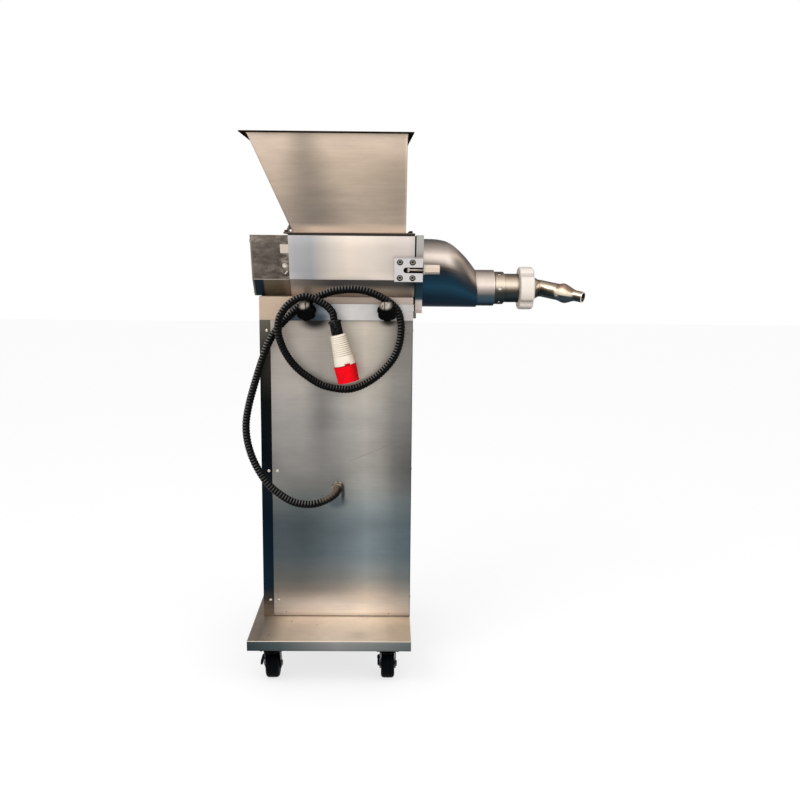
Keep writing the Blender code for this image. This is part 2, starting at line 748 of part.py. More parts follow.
def build_caster(name, x, y, brake, trail):
    top = CASTER_HEIGHT - GAP
    plate_bottom = top - CASTER_PLATE_THICK
    swivel_bottom = plate_bottom - SWIVEL_HEIGHT
    crown_top = swivel_bottom - GAP
    crown_bottom = crown_top - FORK_CROWN_HEIGHT
    axle_level = WHEEL_RADIUS * math.cos(math.pi / WHEEL_STEPS)
    leg_inner = HUB_WIDTH / 2 + GAP
    leg_outer = leg_inner + FORK_SHEET

    plate = block(
        f"caster_plate_{name}",
        (-CASTER_PLATE_WIDTH / 2, -CASTER_PLATE_DEPTH / 2, plate_bottom),
        (CASTER_PLATE_WIDTH / 2, CASTER_PLATE_DEPTH / 2, top),
        BLACK_PLASTIC,
        frame=at(x, y, 0),
    )
    race_height = SWIVEL_HEIGHT + CASTER_PLATE_THICK / 2
    race = cylinder(f"race_{name}", SWIVEL_RADIUS, race_height, BLACK_PLASTIC, at(x, y, swivel_bottom))
    join(plate, race)

    fork = cylinder(
        f"caster_fork_{name}", FORK_CROWN_RADIUS, FORK_CROWN_HEIGHT, BLACK_PLASTIC, at(x, y, crown_bottom)
    )
    for side in (-1, 1):
        low = min(side * leg_inner, side * leg_outer)
        leg = extruded(
            f"leg_{name}_{side}",
            [fork_leg_outline(crown_top - axle_level, math.copysign(1, trail))],
            FORK_SHEET,
            BLACK_PLASTIC,
            along_x(x + low, y, crown_top),
        )
        join(fork, leg)
    axle = turned(
        f"axle_{name}",
        [
            (0, -leg_outer - AXLE_HEAD_THICK),
            (AXLE_HEAD_RADIUS, -leg_outer - AXLE_HEAD_THICK),
            (AXLE_HEAD_RADIUS, -leg_outer + FORK_SHEET / 2),
            (AXLE_RADIUS, -leg_outer + FORK_SHEET / 2),
            (AXLE_RADIUS, leg_outer - FORK_SHEET / 2),
            (AXLE_HEAD_RADIUS, leg_outer - FORK_SHEET / 2),
            (AXLE_HEAD_RADIUS, leg_outer + AXLE_HEAD_THICK),
            (0, leg_outer + AXLE_HEAD_THICK),
        ],
        DARK_STEEL,
        along_x(x, y + trail, axle_level),
        steps=PIN_STEPS,
    )
    join(fork, axle)

    tread = WHEEL_WIDTH / 2
    hub = HUB_WIDTH / 2
    bore = AXLE_RADIUS + GAP
    wheel = turned(
        f"caster_wheel_{name}",
        [
            (HUB_RADIUS, -hub),
            (HUB_RADIUS, -tread),
            (WHEEL_RADIUS - WHEEL_SHOULDER, -tread),
            (WHEEL_RADIUS, -tread + WHEEL_SHOULDER),
            (WHEEL_RADIUS, tread - WHEEL_SHOULDER),
            (WHEEL_RADIUS - WHEEL_SHOULDER, tread),
            (HUB_RADIUS, tread),
            (HUB_RADIUS, hub),
            (bore, hub),
            (bore, -hub),
        ],
        BLACK_RUBBER,
        along_x(x, y + trail, axle_level) @ Matrix.Rotation(math.pi / WHEEL_STEPS, 4, "Z"),
        steps=WHEEL_STEPS,
        bore=True,
    )
    if brake:
        pivot_level = axle_level + FORK_LEG_WIDTH / 2 + BRAKE_WIDTH / 2 + BRAKE_RISE
        pivot = along_x(x - leg_outer - GAP - BRAKE_THICK, y + TRAIL / 2, pivot_level)
        outline = [(-reach, rise) for reach, rise in stadium(BRAKE_WIDTH / 2, BRAKE_LENGTH)]
        lever = extruded(f"brake_lever_{name}", [outline], BRAKE_THICK, BLACK_PLASTIC, pivot)
        pin_length = BRAKE_THICK / 2 + GAP + FORK_SHEET
        pin_foot = pivot @ at(0, 0, BRAKE_THICK / 2)
        pin = cylinder(f"pin_{name}", BRAKE_PIN_RADIUS, pin_length, DARK_STEEL, pin_foot, PIN_STEPS)
        join(lever, pin)
        hole = cylinder(
            f"pin_hole_{name}", BRAKE_PIN_RADIUS + GAP, FORK_SHEET + 2 * OVERRUN, DARK_STEEL,
            pivot @ at(0, 0, BRAKE_THICK + GAP - OVERRUN), PIN_STEPS,
        )
        cut(fork, hole)


# Cabinet


def build_cabinet():
    back = CABINET_DEPTH
    right = CABINET_WIDTH
    left_cover = block("left_side_cover", (0, 0, PANEL_BOTTOM), (COVER_FLANGE, back, PANEL_TOP), DARK_STEEL)
    cut(left_cover, block(
        "left_cover_inside",
        (SHEET, SHEET, PANEL_BOTTOM - OVERRUN),
        (COVER_FLANGE + OVERRUN, back - SHEET, PANEL_TOP + OVERRUN),
        DARK_STEEL,
    ))

    panel_left = COVER_FLANGE + GAP
    front = block(
        "front_panel", (panel_left, 0, PANEL_BOTTOM), (right, PANEL_RETURN, PANEL_TOP), PANEL_STEEL
    )
    inside = block(
        "front_panel_inside",
        (panel_left + SHEET, SHEET, PANEL_BOTTOM - OVERRUN),
        (right - SHEET, PANEL_RETURN + OVERRUN, PANEL_TOP + OVERRUN),
        PANEL_STEEL,
    )
    gland_hole = cylinder(
        "gland_hole", GLAND_THREAD_RADIUS + GAP, SHEET + 2 * OVERRUN, PANEL_STEEL,
        along_y(GLAND_X, SHEET + OVERRUN, GLAND_LEVEL), BORE_STEPS,
    )
    cut(front, inside, gland_hole)

    cover_front = PANEL_RETURN + GAP
    right_cover = block(
        "right_side_cover",
        (right - COVER_FLANGE, cover_front, PANEL_BOTTOM),
        (right, back, PANEL_TOP),
        BRUSHED,
    )
    cut(right_cover, block(
        "right_cover_inside",
        (right - COVER_FLANGE - OVERRUN, cover_front - OVERRUN, PANEL_BOTTOM - OVERRUN),
        (right - SHEET, back - SHEET, PANEL_TOP + OVERRUN),
        BRUSHED,
    ))
    block(
        "rear_panel",
        (panel_left, back - SHEET, PANEL_BOTTOM),
        (right - COVER_FLANGE - GAP, back, PANEL_TOP),
        BRUSHED,
    )

    band = block("top_frame", (0, 0, BAND_BOTTOM), (right, back, BAND_TOP), BRUSHED)
    band_inside = block(
        "band_inside",
        (BAND_WALL, BAND_WALL, BAND_BOTTOM - OVERRUN),
        (right - BAND_WALL, back - BAND_WALL, BAND_TOP - BAND_TOP_PLATE),
        BRUSHED,
    )
    slot_floor = BAND_TOP - BAND_TOP_PLATE - OVERRUN
    cut(band, band_inside, belt_slot("band_belt_slot", slot_floor, BAND_TOP + OVERRUN))


def belt_slot(name, low, high):
    """The way of the belt through a floor."""
    half = PULLEY_RADIUS + GAP + BELT_THICK + BELT_SLOT_MARGIN
    return block(
        name,
        (PULLEY_LEFT - BELT_SLOT_MARGIN, FRONT_AUGER_Y - half, low),
        (PULLEY_LEFT + PULLEY_WIDTH + BELT_SLOT_MARGIN, FRONT_AUGER_Y + half, high),
        DARK_STEEL,
    )


def build_hook_strip():
    strip_back = -GAP
    strip_front = strip_back - STRIP_THICK
    strip = block(
        "hook_strip",
        (STRIP_LEFT, strip_front, BAND_BOTTOM),
        (CABINET_WIDTH, strip_back, BAND_BOTTOM + STRIP_HEIGHT),
        BRIGHT,
    )
    for side, x in (("left", KNOB_LEFT_X), ("right", KNOB_LEFT_X + KNOB_SPAN)):
        cut(strip, cylinder(
            f"stud_hole_{side}", KNOB_STUD_RADIUS + GAP, STRIP_THICK + 2 * OVERRUN, BRIGHT,
            along_y(x, strip_back + OVERRUN, KNOB_LEVEL), PIN_STEPS,
        ))
        build_star_knob(f"star_knob_{side}", along_y(x, strip_front, KNOB_LEVEL))


def build_star_knob(name, seat):
    """A lobed head on a stem and a stud. The seat is the face that the stem stands on."""
    middle_radius = KNOB_RADIUS - KNOB_LOBE_DEPTH
    points_per_lobe = 6
    steps = KNOB_LOBES * points_per_lobe
    outline = []
    for i in range(steps):
        angle = 2 * math.pi * i / steps
        radius = middle_radius + KNOB_LOBE_DEPTH * math.cos(KNOB_LOBES * angle)
        outline.append((radius * math.sin(angle), -radius * math.cos(angle)))
    head = extruded(name, [outline], KNOB_THICK, BLACK_PLASTIC, seat @ at(0, 0, GAP + KNOB_STEM_LENGTH))
    head = baked(rounded(head, KNOB_EDGE))
    stem = turned(
        f"{name}_stem",
        [
            (0, -STRIP_THICK),
            (KNOB_STUD_RADIUS, -STRIP_THICK),
            (KNOB_STUD_RADIUS, GAP),
            (KNOB_STEM_RADIUS, GAP),
            (KNOB_STEM_RADIUS, GAP + KNOB_STEM_LENGTH + KNOB_THICK / 2),
            (0, GAP + KNOB_STEM_LENGTH + KNOB_THICK / 2),
        ],
        BLACK_PLASTIC,
        seat,
        steps=PIN_STEPS,
    )
    return join(head, stem)


# Belt drive


def build_drive():
    shaft_x = PULLEY_LEFT
    shaft_hole = MOTOR_SHAFT_RADIUS + GAP
    motor = turned(
        "motor",
        [
            (0, 0),
            (MOTOR_RADIUS - MOTOR_EDGE, 0),
            (MOTOR_RADIUS, MOTOR_EDGE),
            (MOTOR_RADIUS, MOTOR_LENGTH - MOTOR_EDGE),
            (MOTOR_RADIUS - MOTOR_EDGE, MOTOR_LENGTH),
            (0, MOTOR_LENGTH),
        ],
        PAINTED,
        along_x(MOTOR_LEFT, FRONT_AUGER_Y, MOTOR_LEVEL),
    )
    foot_left = MOTOR_LEFT + (MOTOR_LENGTH - MOTOR_FOOT_LENGTH) / 2
    foot = block(
        "motor_foot",
        (foot_left, FRONT_AUGER_Y - MOTOR_FOOT_HALF, MOTOR_LEVEL - MOTOR_FOOT_HEIGHT),
        (foot_left + MOTOR_FOOT_LENGTH, FRONT_AUGER_Y + MOTOR_FOOT_HALF, MOTOR_LEVEL - MOTOR_RADIUS / 2),
        PAINTED,
    )
    bore = cylinder(
        "motor_bore", shaft_hole, MOTOR_SHAFT_REACH + OVERRUN, PAINTED,
        along_x(MOTOR_LEFT - OVERRUN, FRONT_AUGER_Y, MOTOR_LEVEL), BORE_STEPS,
    )
    cut(join(motor, foot), bore)

    turned(
        "motor_pulley",
        [
            (0, 0),
            (PULLEY_RADIUS, 0),
            (PULLEY_RADIUS, PULLEY_WIDTH),
            (MOTOR_SHAFT_RADIUS, PULLEY_WIDTH),
            (MOTOR_SHAFT_RADIUS, MOTOR_LEFT - shaft_x + MOTOR_SHAFT_REACH - GAP),
            (0, MOTOR_LEFT - shaft_x + MOTOR_SHAFT_REACH - GAP),
        ],
        DARK_STEEL,
        along_x(shaft_x, FRONT_AUGER_Y, MOTOR_LEVEL),
    )
    turned(
        "driven_pulley",
        [
            (PULLEY_RADIUS, 0),
            (PULLEY_RADIUS, PULLEY_WIDTH),
            (SHAFT_RADIUS + GAP, PULLEY_WIDTH),
            (SHAFT_RADIUS + GAP, 0),
        ],
        DARK_STEEL,
        along_x(shaft_x, FRONT_AUGER_Y, AUGER_LEVEL),
        bore=True,
    )

    belt_x = PULLEY_LEFT + (PULLEY_WIDTH - BELT_WIDTH) / 2
    inner = PULLEY_RADIUS + GAP
    loops = [belt_loop(inner + BELT_THICK), belt_loop(inner)]
    extruded("drive_belt", loops, BELT_WIDTH, BLACK_RUBBER, along_x(belt_x, FRONT_AUGER_Y, MOTOR_LEVEL))

    shelf_top = MOTOR_LEVEL - MOTOR_FOOT_HEIGHT - GAP
    inner_back = CABINET_DEPTH - SHEET - GAP
    shelf = block(
        "motor_shelf",
        (SHEET + GAP, SHEET + GAP, shelf_top - SHELF_THICK),
        (CABINET_WIDTH - SHEET - GAP, inner_back, shelf_top),
        BRUSHED,
    )
    notch_side = COVER_FLANGE + SHEET + 2 * GAP
    upstand = block(
        "shelf_upstand",
        (notch_side, inner_back - SHELF_THICK, shelf_top - SHELF_THICK / 2),
        (CABINET_WIDTH - notch_side, inner_back, shelf_top + SHELF_UPSTAND),
        BRUSHED,
    )
    left_notch = block(
        "shelf_left_notch",
        (0, 0, shelf_top - 2 * SHELF_THICK),
        (notch_side, PANEL_RETURN + GAP, shelf_top + SHELF_THICK),
        BRUSHED,
    )
    right_notch = block(
        "shelf_right_notch",
        (CABINET_WIDTH - SHEET - 2 * GAP, 0, shelf_top - 2 * SHELF_THICK),
        (CABINET_WIDTH, PANEL_RETURN + GAP, shelf_top + SHELF_THICK),
        BRUSHED,
    )
    cut(join(shelf, upstand), left_notch, right_notch)

    inverter_top = shelf_top - SHELF_THICK - INVERTER_DROP
    block(
        "inverter_box",
        (INVERTER_LEFT, inner_back - INVERTER_DEPTH, inverter_top - INVERTER_HEIGHT),
        (INVERTER_LEFT + INVERTER_WIDTH, inner_back, inverter_top),
        PAINTED,
        edge=INVERTER_EDGE,
    )


def belt_loop(radius, steps=12):
    """The belt's path at a radius round both pulleys, as (y, z) from the motor shaft."""
    turn = math.pi / steps
    half = [(radius * math.cos(i * turn), radius * math.sin(i * turn)) for i in range(steps + 1)]
    return [(-y, -z) for y, z in half] + [(y, MOTOR_DROP + z) for y, z in half]


# Trough, drive housing, augers and gears


def shaft_holes(name, radius, left, right, steps=BORE_STEPS):
    return [
        cylinder(f"{name}_{side}", radius, right - left, DARK_STEEL, along_x(left, y, AUGER_LEVEL), steps)
        for side, y in (("front", FRONT_AUGER_Y), ("rear", REAR_AUGER_Y))
    ]


def build_trough():
    trough = extruded(
        "trough_body",
        [casing_outline(0, 0)],
        TROUGH_RIGHT - TROUGH_LEFT,
        BRUSHED,
        along_x(TROUGH_LEFT, MIDDLE, 0),
    )
    slope = (THROAT_HALF - AUGER_SPACING / 2 - AUGER_BORE) / AUGER_DROP
    foot_half = THROAT_HALF - slope * AUGER_DROP - GAP
    head_half = THROAT_HALF + slope * OVERRUN
    throat = extruded(
        "throat",
        [[
            (-head_half, TROUGH_TOP + OVERRUN),
            (-foot_half, AUGER_LEVEL),
            (foot_half, AUGER_LEVEL),
            (head_half, TROUGH_TOP + OVERRUN),
        ]],
        THROAT_RIGHT - THROAT_LEFT,
        BRUSHED,
        along_x(THROAT_LEFT, MIDDLE, 0),
    )
    bore_left = TROUGH_LEFT + TROUGH_END_WALL
    bores = shaft_holes("auger_bore", AUGER_BORE, bore_left, TROUGH_RIGHT + OVERRUN, steps=ROUND_STEPS)
    holes = shaft_holes("trough_shaft_hole", SHAFT_RADIUS + GAP, TROUGH_LEFT - OVERRUN, bore_left + OVERRUN)
    cut(trough, throat, *bores, *holes)

    slant = SIDE_HEIGHT / math.cos(SIDE_LEAN) - FRONT_PLATE_THICK * math.tan(SIDE_LEAN)
    tab_top = slant - TAB_DROP
    outline = [
        (TROUGH_LEFT, 0),
        (TROUGH_RIGHT, 0),
        (TROUGH_RIGHT, slant),
        (TROUGH_LEFT, slant),
        (TROUGH_LEFT, tab_top),
        (TROUGH_LEFT - TAB_LENGTH, tab_top),
        (TROUGH_LEFT - TAB_LENGTH, tab_top - TAB_HEIGHT),
        (TROUGH_LEFT, tab_top - TAB_HEIGHT),
    ]
    plate_frame = face_frame("front", 0, SIDE_LEVEL) @ along_y(0, FRONT_PLATE_THICK, 0)
    extruded("trough_front_plate", [outline], FRONT_PLATE_THICK, BRIGHT, plate_frame)

    gasket_outer = [
        (TROUGH_LEFT, -HOPPER_FLANGE_HALF),
        (TROUGH_RIGHT, -HOPPER_FLANGE_HALF),
        (TROUGH_RIGHT, HOPPER_FLANGE_HALF),
        (TROUGH_LEFT, HOPPER_FLANGE_HALF),
    ]
    gasket_inner = [
        (THROAT_LEFT, -THROAT_HALF),
        (THROAT_RIGHT, -THROAT_HALF),
        (THROAT_RIGHT, THROAT_HALF),
        (THROAT_LEFT, THROAT_HALF),
    ]
    seat = at(0, MIDDLE, TROUGH_TOP + GAP)
    extruded("hopper_gasket", [gasket_outer, gasket_inner], GASKET_THICK, GASKET_RUBBER, seat)


def build_drive_housing():
    right = TROUGH_LEFT - GAP
    seat = along_x(HOUSING_LEFT, MIDDLE, 0)
    housing = extruded("drive_housing", [casing_outline(0, 0)], right - HOUSING_LEFT, DARK_STEEL, seat)
    cavity = extruded(
        "housing_cavity",
        [casing_outline(HOUSING_WALL, HOUSING_WALL)],
        right - HOUSING_END_WALL - HOUSING_LEFT + OVERRUN,
        DARK_STEEL,
        along_x(HOUSING_LEFT - OVERRUN, MIDDLE, 0),
    )
    wall_left = right - HOUSING_END_WALL - OVERRUN
    holes = shaft_holes("housing_shaft_hole", SHAFT_RADIUS + GAP, wall_left, right + OVERRUN)
    slot = belt_slot("housing_belt_slot", FOOT_LEVEL - OVERRUN, FOOT_LEVEL + HOUSING_WALL + OVERRUN)
    cut(housing, cavity, *holes, slot)
    extruded(
        "drive_cover",
        [casing_outline(0, 0)],
        DRIVE_COVER_THICK,
        DARK_STEEL,
        along_x(HOUSING_LEFT - GAP - DRIVE_COVER_THICK, MIDDLE, 0),
    )


def gear_outline(phase):
    """Teeth with involute flanks, as (y, z) round the shaft."""
    pitch_radius = AUGER_SPACING / 2
    module = AUGER_SPACING / GEAR_TEETH
    base_radius = pitch_radius * math.cos(GEAR_PRESSURE_ANGLE)
    tip_radius = pitch_radius + GEAR_ADDENDUM_SHARE * module
    root_radius = pitch_radius - GEAR_DEDENDUM_SHARE * module
    half_tooth = math.pi / (2 * GEAR_TEETH) - GEAR_BACKLASH / (2 * pitch_radius)

    def involute(radius):
        roll = math.acos(min(1, base_radius / radius))
        return math.tan(roll) - roll

    at_pitch = involute(pitch_radius)
    radii = [base_radius, pitch_radius, tip_radius]
    flank = [(radius, half_tooth + at_pitch - involute(radius)) for radius in radii]
    flank.insert(0, (root_radius, flank[0][1]))
    outline = []
    for tooth in range(GEAR_TEETH):
        centre = phase + 2 * math.pi * tooth / GEAR_TEETH
        sides = [(radius, centre - angle) for radius, angle in flank]
        sides += [(radius, centre + angle) for radius, angle in reversed(flank)]
        outline += [(radius * math.cos(angle), radius * math.sin(angle)) for radius, angle in sides]
    return outline


def build_auger(side, y, hand):
    """Core, flight and drive shaft in one piece, with its gear on the shaft."""
    core_left = TROUGH_LEFT + TROUGH_END_WALL + 2 * GAP
    flight_length = AUGER_PITCH * AUGER_TURNS
    core_right = core_left + flight_length + FLIGHT_THICK
    shaft_left = PULLEY_LEFT if side == "front" else TROUGH_LEFT - HOUSING_END_WALL - 2 * GEAR_WIDTH
    auger = turned(
        f"auger_{side}",
        [
            (0, shaft_left),
            (SHAFT_RADIUS, shaft_left),
            (SHAFT_RADIUS, core_left),
            (AUGER_CORE, core_left),
            (AUGER_CORE, core_right),
            (SHAFT_RADIUS, core_right + FLIGHT_THICK),
            (0, core_right + FLIGHT_THICK),
        ],
        BRIGHT,
        along_x(0, y, AUGER_LEVEL),
        steps=BORE_STEPS,
    )
    mesh = bpy.data.meshes.new(f"flight_{side}")
    mesh.from_pydata([(AUGER_CORE - OVERRUN, 0, 0), (AUGER_RADIUS, 0, 0)], [(0, 1)], [])
    flight = place(f"flight_{side}", mesh, BRIGHT, along_x(core_left + FLIGHT_THICK, y, AUGER_LEVEL))
    screw = flight.modifiers.new("flight", "SCREW")
    screw.angle = 2 * math.pi * hand
    screw.screw_offset = AUGER_PITCH
    screw.iterations = AUGER_TURNS
    screw.steps = AUGER_STEPS
    screw.render_steps = AUGER_STEPS
    wall = flight.modifiers.new("thickness", "SOLIDIFY")
    wall.thickness = FLIGHT_THICK
    wall.offset = 0
    join(auger, baked(flight))

    pitch_phase = 0 if side == "front" else math.pi + math.pi / GEAR_TEETH
    gear_left = TROUGH_LEFT - GAP - HOUSING_END_WALL - GAP - GEAR_HUB_LENGTH - GEAR_WIDTH
    gear = extruded(
        f"gear_{side}",
        [gear_outline(pitch_phase), circle(SHAFT_RADIUS + GAP, BORE_STEPS)],
        GEAR_WIDTH,
        DARK_STEEL,
        along_x(gear_left, y, AUGER_LEVEL),
    )
    hub = turned(
        f"gear_hub_{side}",
        [
            (GEAR_HUB_RADIUS, GEAR_WIDTH / 2),
            (GEAR_HUB_RADIUS, GEAR_WIDTH + GEAR_HUB_LENGTH),
            (SHAFT_RADIUS + GAP, GEAR_WIDTH + GEAR_HUB_LENGTH),
            (SHAFT_RADIUS + GAP, GEAR_WIDTH / 2),
        ],
        DARK_STEEL,
        along_x(gear_left, y, AUGER_LEVEL),
        steps=BORE_STEPS,
        bore=True,
    )
    join(gear, hub)


# Hopper


def hopper_section(level, inset):
    """The hopper's level rectangle, drawn in by its wall."""
    share = (level - HOPPER_BOTTOM) / HOPPER_HEIGHT
    left = HOPPER_FOOT_LEFT + share * (HOPPER_MOUTH_LEFT - HOPPER_FOOT_LEFT)
    right = HOPPER_FOOT_RIGHT + share * (HOPPER_MOUTH_RIGHT - HOPPER_FOOT_RIGHT)
    half = HOPPER_FOOT_HALF + share * (HOPPER_MOUTH_HALF - HOPPER_FOOT_HALF)
    return left + inset, right - inset, MIDDLE - half + inset, MIDDLE + half - inset, level


def build_hopper():
    hopper = taper("hopper", hopper_section(HOPPER_BOTTOM, 0), hopper_section(RIM_TOP, 0), BRUSHED)
    left, right, front, back, _ = hopper_section(RIM_TOP, -RIM_WIDTH)
    rim = block("hopper_rim", (left, front, RIM_TOP - RIM_THICK), (right, back, RIM_TOP), BRUSHED)
    flange = block(
        "hopper_flange",
        (HOPPER_FLANGE_LEFT, MIDDLE - HOPPER_FLANGE_HALF, HOPPER_BOTTOM),
        (TROUGH_RIGHT, MIDDLE + HOPPER_FLANGE_HALF, HOPPER_BOTTOM + HOPPER_FLANGE_THICK),
        BRUSHED,
    )
    gusset_top = HOPPER_BOTTOM + GUSSET_HEIGHT
    outline = [
        (HOPPER_FLANGE_LEFT, HOPPER_BOTTOM + HOPPER_FLANGE_THICK / 2),
        (HOPPER_FOOT_LEFT + HOPPER_WALL, HOPPER_BOTTOM + HOPPER_FLANGE_THICK / 2),
        (hopper_section(gusset_top, HOPPER_WALL / 2)[0], gusset_top),
    ]
    front_gusset = MIDDLE - HOPPER_FOOT_HALF + GUSSET_INSET
    gussets = [
        extruded(f"gusset_{end}", [outline], GUSSET_THICK, BRUSHED, along_y(0, y, 0))
        for end, y in (("front", front_gusset), ("rear", 2 * MIDDLE - front_gusset + GUSSET_THICK))
    ]
    inside = taper(
        "hopper_inside",
        hopper_section(HOPPER_BOTTOM - OVERRUN, HOPPER_WALL),
        hopper_section(RIM_TOP + OVERRUN, HOPPER_WALL),
        BRUSHED,
    )
    join(hopper, rim, flange, *gussets)
    cut(hopper, inside)


# Outlet head, its clamps, and the pieces on the outlet


def ring_points(centre, across, up, half_across, half_up, steps=ROUND_STEPS):
    turn = 2 * math.pi / steps
    return [
        centre + across * half_across * math.cos(i * turn) + up * half_up * math.sin(i * turn)
        for i in range(steps)
    ]


def dome_rings(inset, left_overrun):
    """The dome's sections: round, level along the bottom, with a shoulder that comes down to the collar."""
    bottom = DOME_LEVEL - DOME_RADIUS + inset
    top = DOME_LEVEL + DOME_RADIUS - inset
    end_radius = COLLAR_RADIUS - inset
    end_top = bottom + 2 * end_radius
    shoulder = END_PLATE_RIGHT + DOME_STRAIGHT
    stations = [(END_PLATE_LEFT - left_overrun, top), (shoulder, top)]
    for i in range(1, DOME_SECTIONS + 1):
        angle = math.pi / 2 * i / DOME_SECTIONS
        crest = end_top + (top - end_top) * math.cos(angle)
        stations.append((shoulder + DOME_SHOULDER * math.sin(angle), crest))
    rings = []
    for x, crest in stations:
        radius = (crest - bottom) / 2
        centre = Vector((x, MIDDLE, bottom + radius))
        rings.append(ring_points(centre, Vector((0, 1, 0)), UP, radius, radius))
    return rings


def build_outlet_head():
    tongue = SIDE_LEVEL - END_PLATE_DROP
    rise = TROUGH_TOP + END_PLATE_RISE
    top_half = half_width(rise)
    outline = [
        (-top_half, rise),
        (-SIDE_HALF, SIDE_LEVEL),
        (-FOOT_HALF, FOOT_LEVEL),
        (-FOOT_HALF, tongue + END_PLATE_CHAMFER),
        (-FOOT_HALF + END_PLATE_CHAMFER, tongue),
        (FOOT_HALF - END_PLATE_CHAMFER, tongue),
        (FOOT_HALF, tongue + END_PLATE_CHAMFER),
        (FOOT_HALF, FOOT_LEVEL),
        (SIDE_HALF, SIDE_LEVEL),
        (top_half, rise),
    ]
    seat = along_x(END_PLATE_LEFT, MIDDLE, 0)
    head = extruded("outlet_head", [outline], END_PLATE_THICK, CAST_STEEL, seat)
    dome = lofted("dome", dome_rings(0, -END_PLATE_THICK / 2), CAST_STEEL)
    collar = cylinder(
        "collar", COLLAR_RADIUS, COLLAR_LENGTH + DOME_WALL, CAST_STEEL,
        along_x(DOME_END - DOME_WALL, MIDDLE, OUTLET_LEVEL),
    )
    inside = lofted("dome_inside", dome_rings(DOME_WALL, OVERRUN), CAST_STEEL)
    bore = cylinder(
        "collar_bore", COLLAR_BORE, COLLAR_LENGTH + 2 * DOME_WALL, CAST_STEEL,
        along_x(COLLAR_END + OVERRUN - COLLAR_LENGTH - 2 * DOME_WALL, MIDDLE, OUTLET_LEVEL),
    )
    cut(join(head, dome, collar), inside, bore)

    gasket = casing_outline(0, 0)
    hole = circle(DOME_RADIUS - DOME_WALL, ROUND_STEPS, centre=(0, DOME_LEVEL))
    gasket_frame = along_x(TROUGH_RIGHT + GAP, MIDDLE, 0)
    extruded("head_gasket", [gasket, hole], HEAD_GASKET_THICK, GASKET_RUBBER, gasket_frame)

    block(
        "head_rest",
        (CABINET_WIDTH + GAP, MIDDLE - REST_HALF, tongue - GAP - REST_HEIGHT),
        (CABINET_WIDTH + GAP + REST_LENGTH, MIDDLE + REST_HALF, tongue - GAP),
        DARK_STEEL,
    )


def build_clamp(side):
    """A slot block, its swing bolt on a pin and the long nut that holds the end plate."""
    block_right = END_PLATE_RIGHT - BLOCK_SHORT_OF_FACE
    block_left = block_right - BLOCK_LENGTH
    face = face_frame(side, 0, CLAMP_LEVEL)
    back = -GAP
    front = back - BLOCK_THICK
    axis = (front + back) / 2
    slot_half = SLOT_HEIGHT / 2
    slot_x = block_right - SLOT_LENGTH + slot_half
    pivot_x = slot_x + EYE_OFFSET
    body = block(
        f"slot_block_{side}",
        (block_left, front, -BLOCK_HEIGHT / 2),
        (block_right, back, BLOCK_HEIGHT / 2),
        BRIGHT,
        frame=face,
    )
    slot = extruded(
        f"bolt_slot_{side}",
        [stadium(slot_half, SLOT_LENGTH)],
        BLOCK_THICK + 2 * OVERRUN,
        BRIGHT,
        face @ along_y(slot_x, back + OVERRUN, 0),
    )
    cut(body, slot)
    for i in range(SCREW_COLUMNS):
        x = block_left + SCREW_LEFT_INSET + i * SCREW_SPACING_X
        for end, z in (("low", -SCREW_SPACING_Z / 2), ("high", SCREW_SPACING_Z / 2)):
            cut(body, cylinder(
                f"screw_hole_{side}_{end}_{i}", SCREW_HOLE_RADIUS, SCREW_HOLE_DEPTH + OVERRUN, BRIGHT,
                face @ along_y(x, front + SCREW_HOLE_DEPTH, z), PIN_STEPS,
            ))
    pin_reach = slot_half + BLOCK_THICK / 4
    pin_foot = face @ at(pivot_x, axis, -pin_reach)
    join(body, cylinder(f"pivot_pin_{side}", PIN_RADIUS, 2 * pin_reach, BRIGHT, pin_foot, PIN_STEPS))

    pivot = face @ at(pivot_x, axis, 0)
    eye_half = slot_half - EYE_SIDE_ROOM
    eye_foot = pivot @ at(0, 0, -eye_half)
    bolt = cylinder(f"swing_bolt_{side}", EYE_RADIUS, 2 * eye_half, BRIGHT, eye_foot, BORE_STEPS)
    bolt.data.transform(Matrix.Translation((0, 0, -eye_half)))
    bolt.matrix_local = pivot
    nut_left = END_PLATE_RIGHT + GAP
    nut_length = WASHER_THICK + CLAMP_NUT_LENGTH
    bolt_end = nut_left + nut_length - BOLT_END_INSET
    shank = cylinder(
        f"shank_{side}", BOLT_RADIUS, bolt_end - pivot_x - PIN_RADIUS - OVERRUN, BRIGHT,
        pivot @ along_x(PIN_RADIUS + OVERRUN, 0, 0), PIN_STEPS,
    )
    pin_hole = cylinder(
        f"eye_hole_{side}", PIN_RADIUS + GAP, 2 * eye_half + 2 * OVERRUN, BRIGHT,
        pivot @ at(0, 0, -eye_half - OVERRUN), PIN_STEPS,
    )
    cut(join(bolt, shank), pin_hole)

    nut_frame = face @ along_x(nut_left, axis, 0)
    nut = extruded(
        f"clamp_nut_{side}",
        [circle(CLAMP_NUT_CORNER, NUT_SIDES, phase=CLAMP_NUT_PHASE_ANGLE)],
        nut_length,
        BRIGHT,
        nut_frame,
    )
    washer = cylinder(f"washer_{side}", WASHER_RADIUS, WASHER_THICK, BRIGHT, nut_frame, BORE_STEPS)
    nut_bore = cylinder(
        f"nut_bore_{side}", BOLT_RADIUS + GAP, nut_length + 2 * OVERRUN, BRIGHT,
        nut_frame @ at(0, 0, -OVERRUN), PIN_STEPS,
    )
    cut(join(nut, washer), nut_bore)


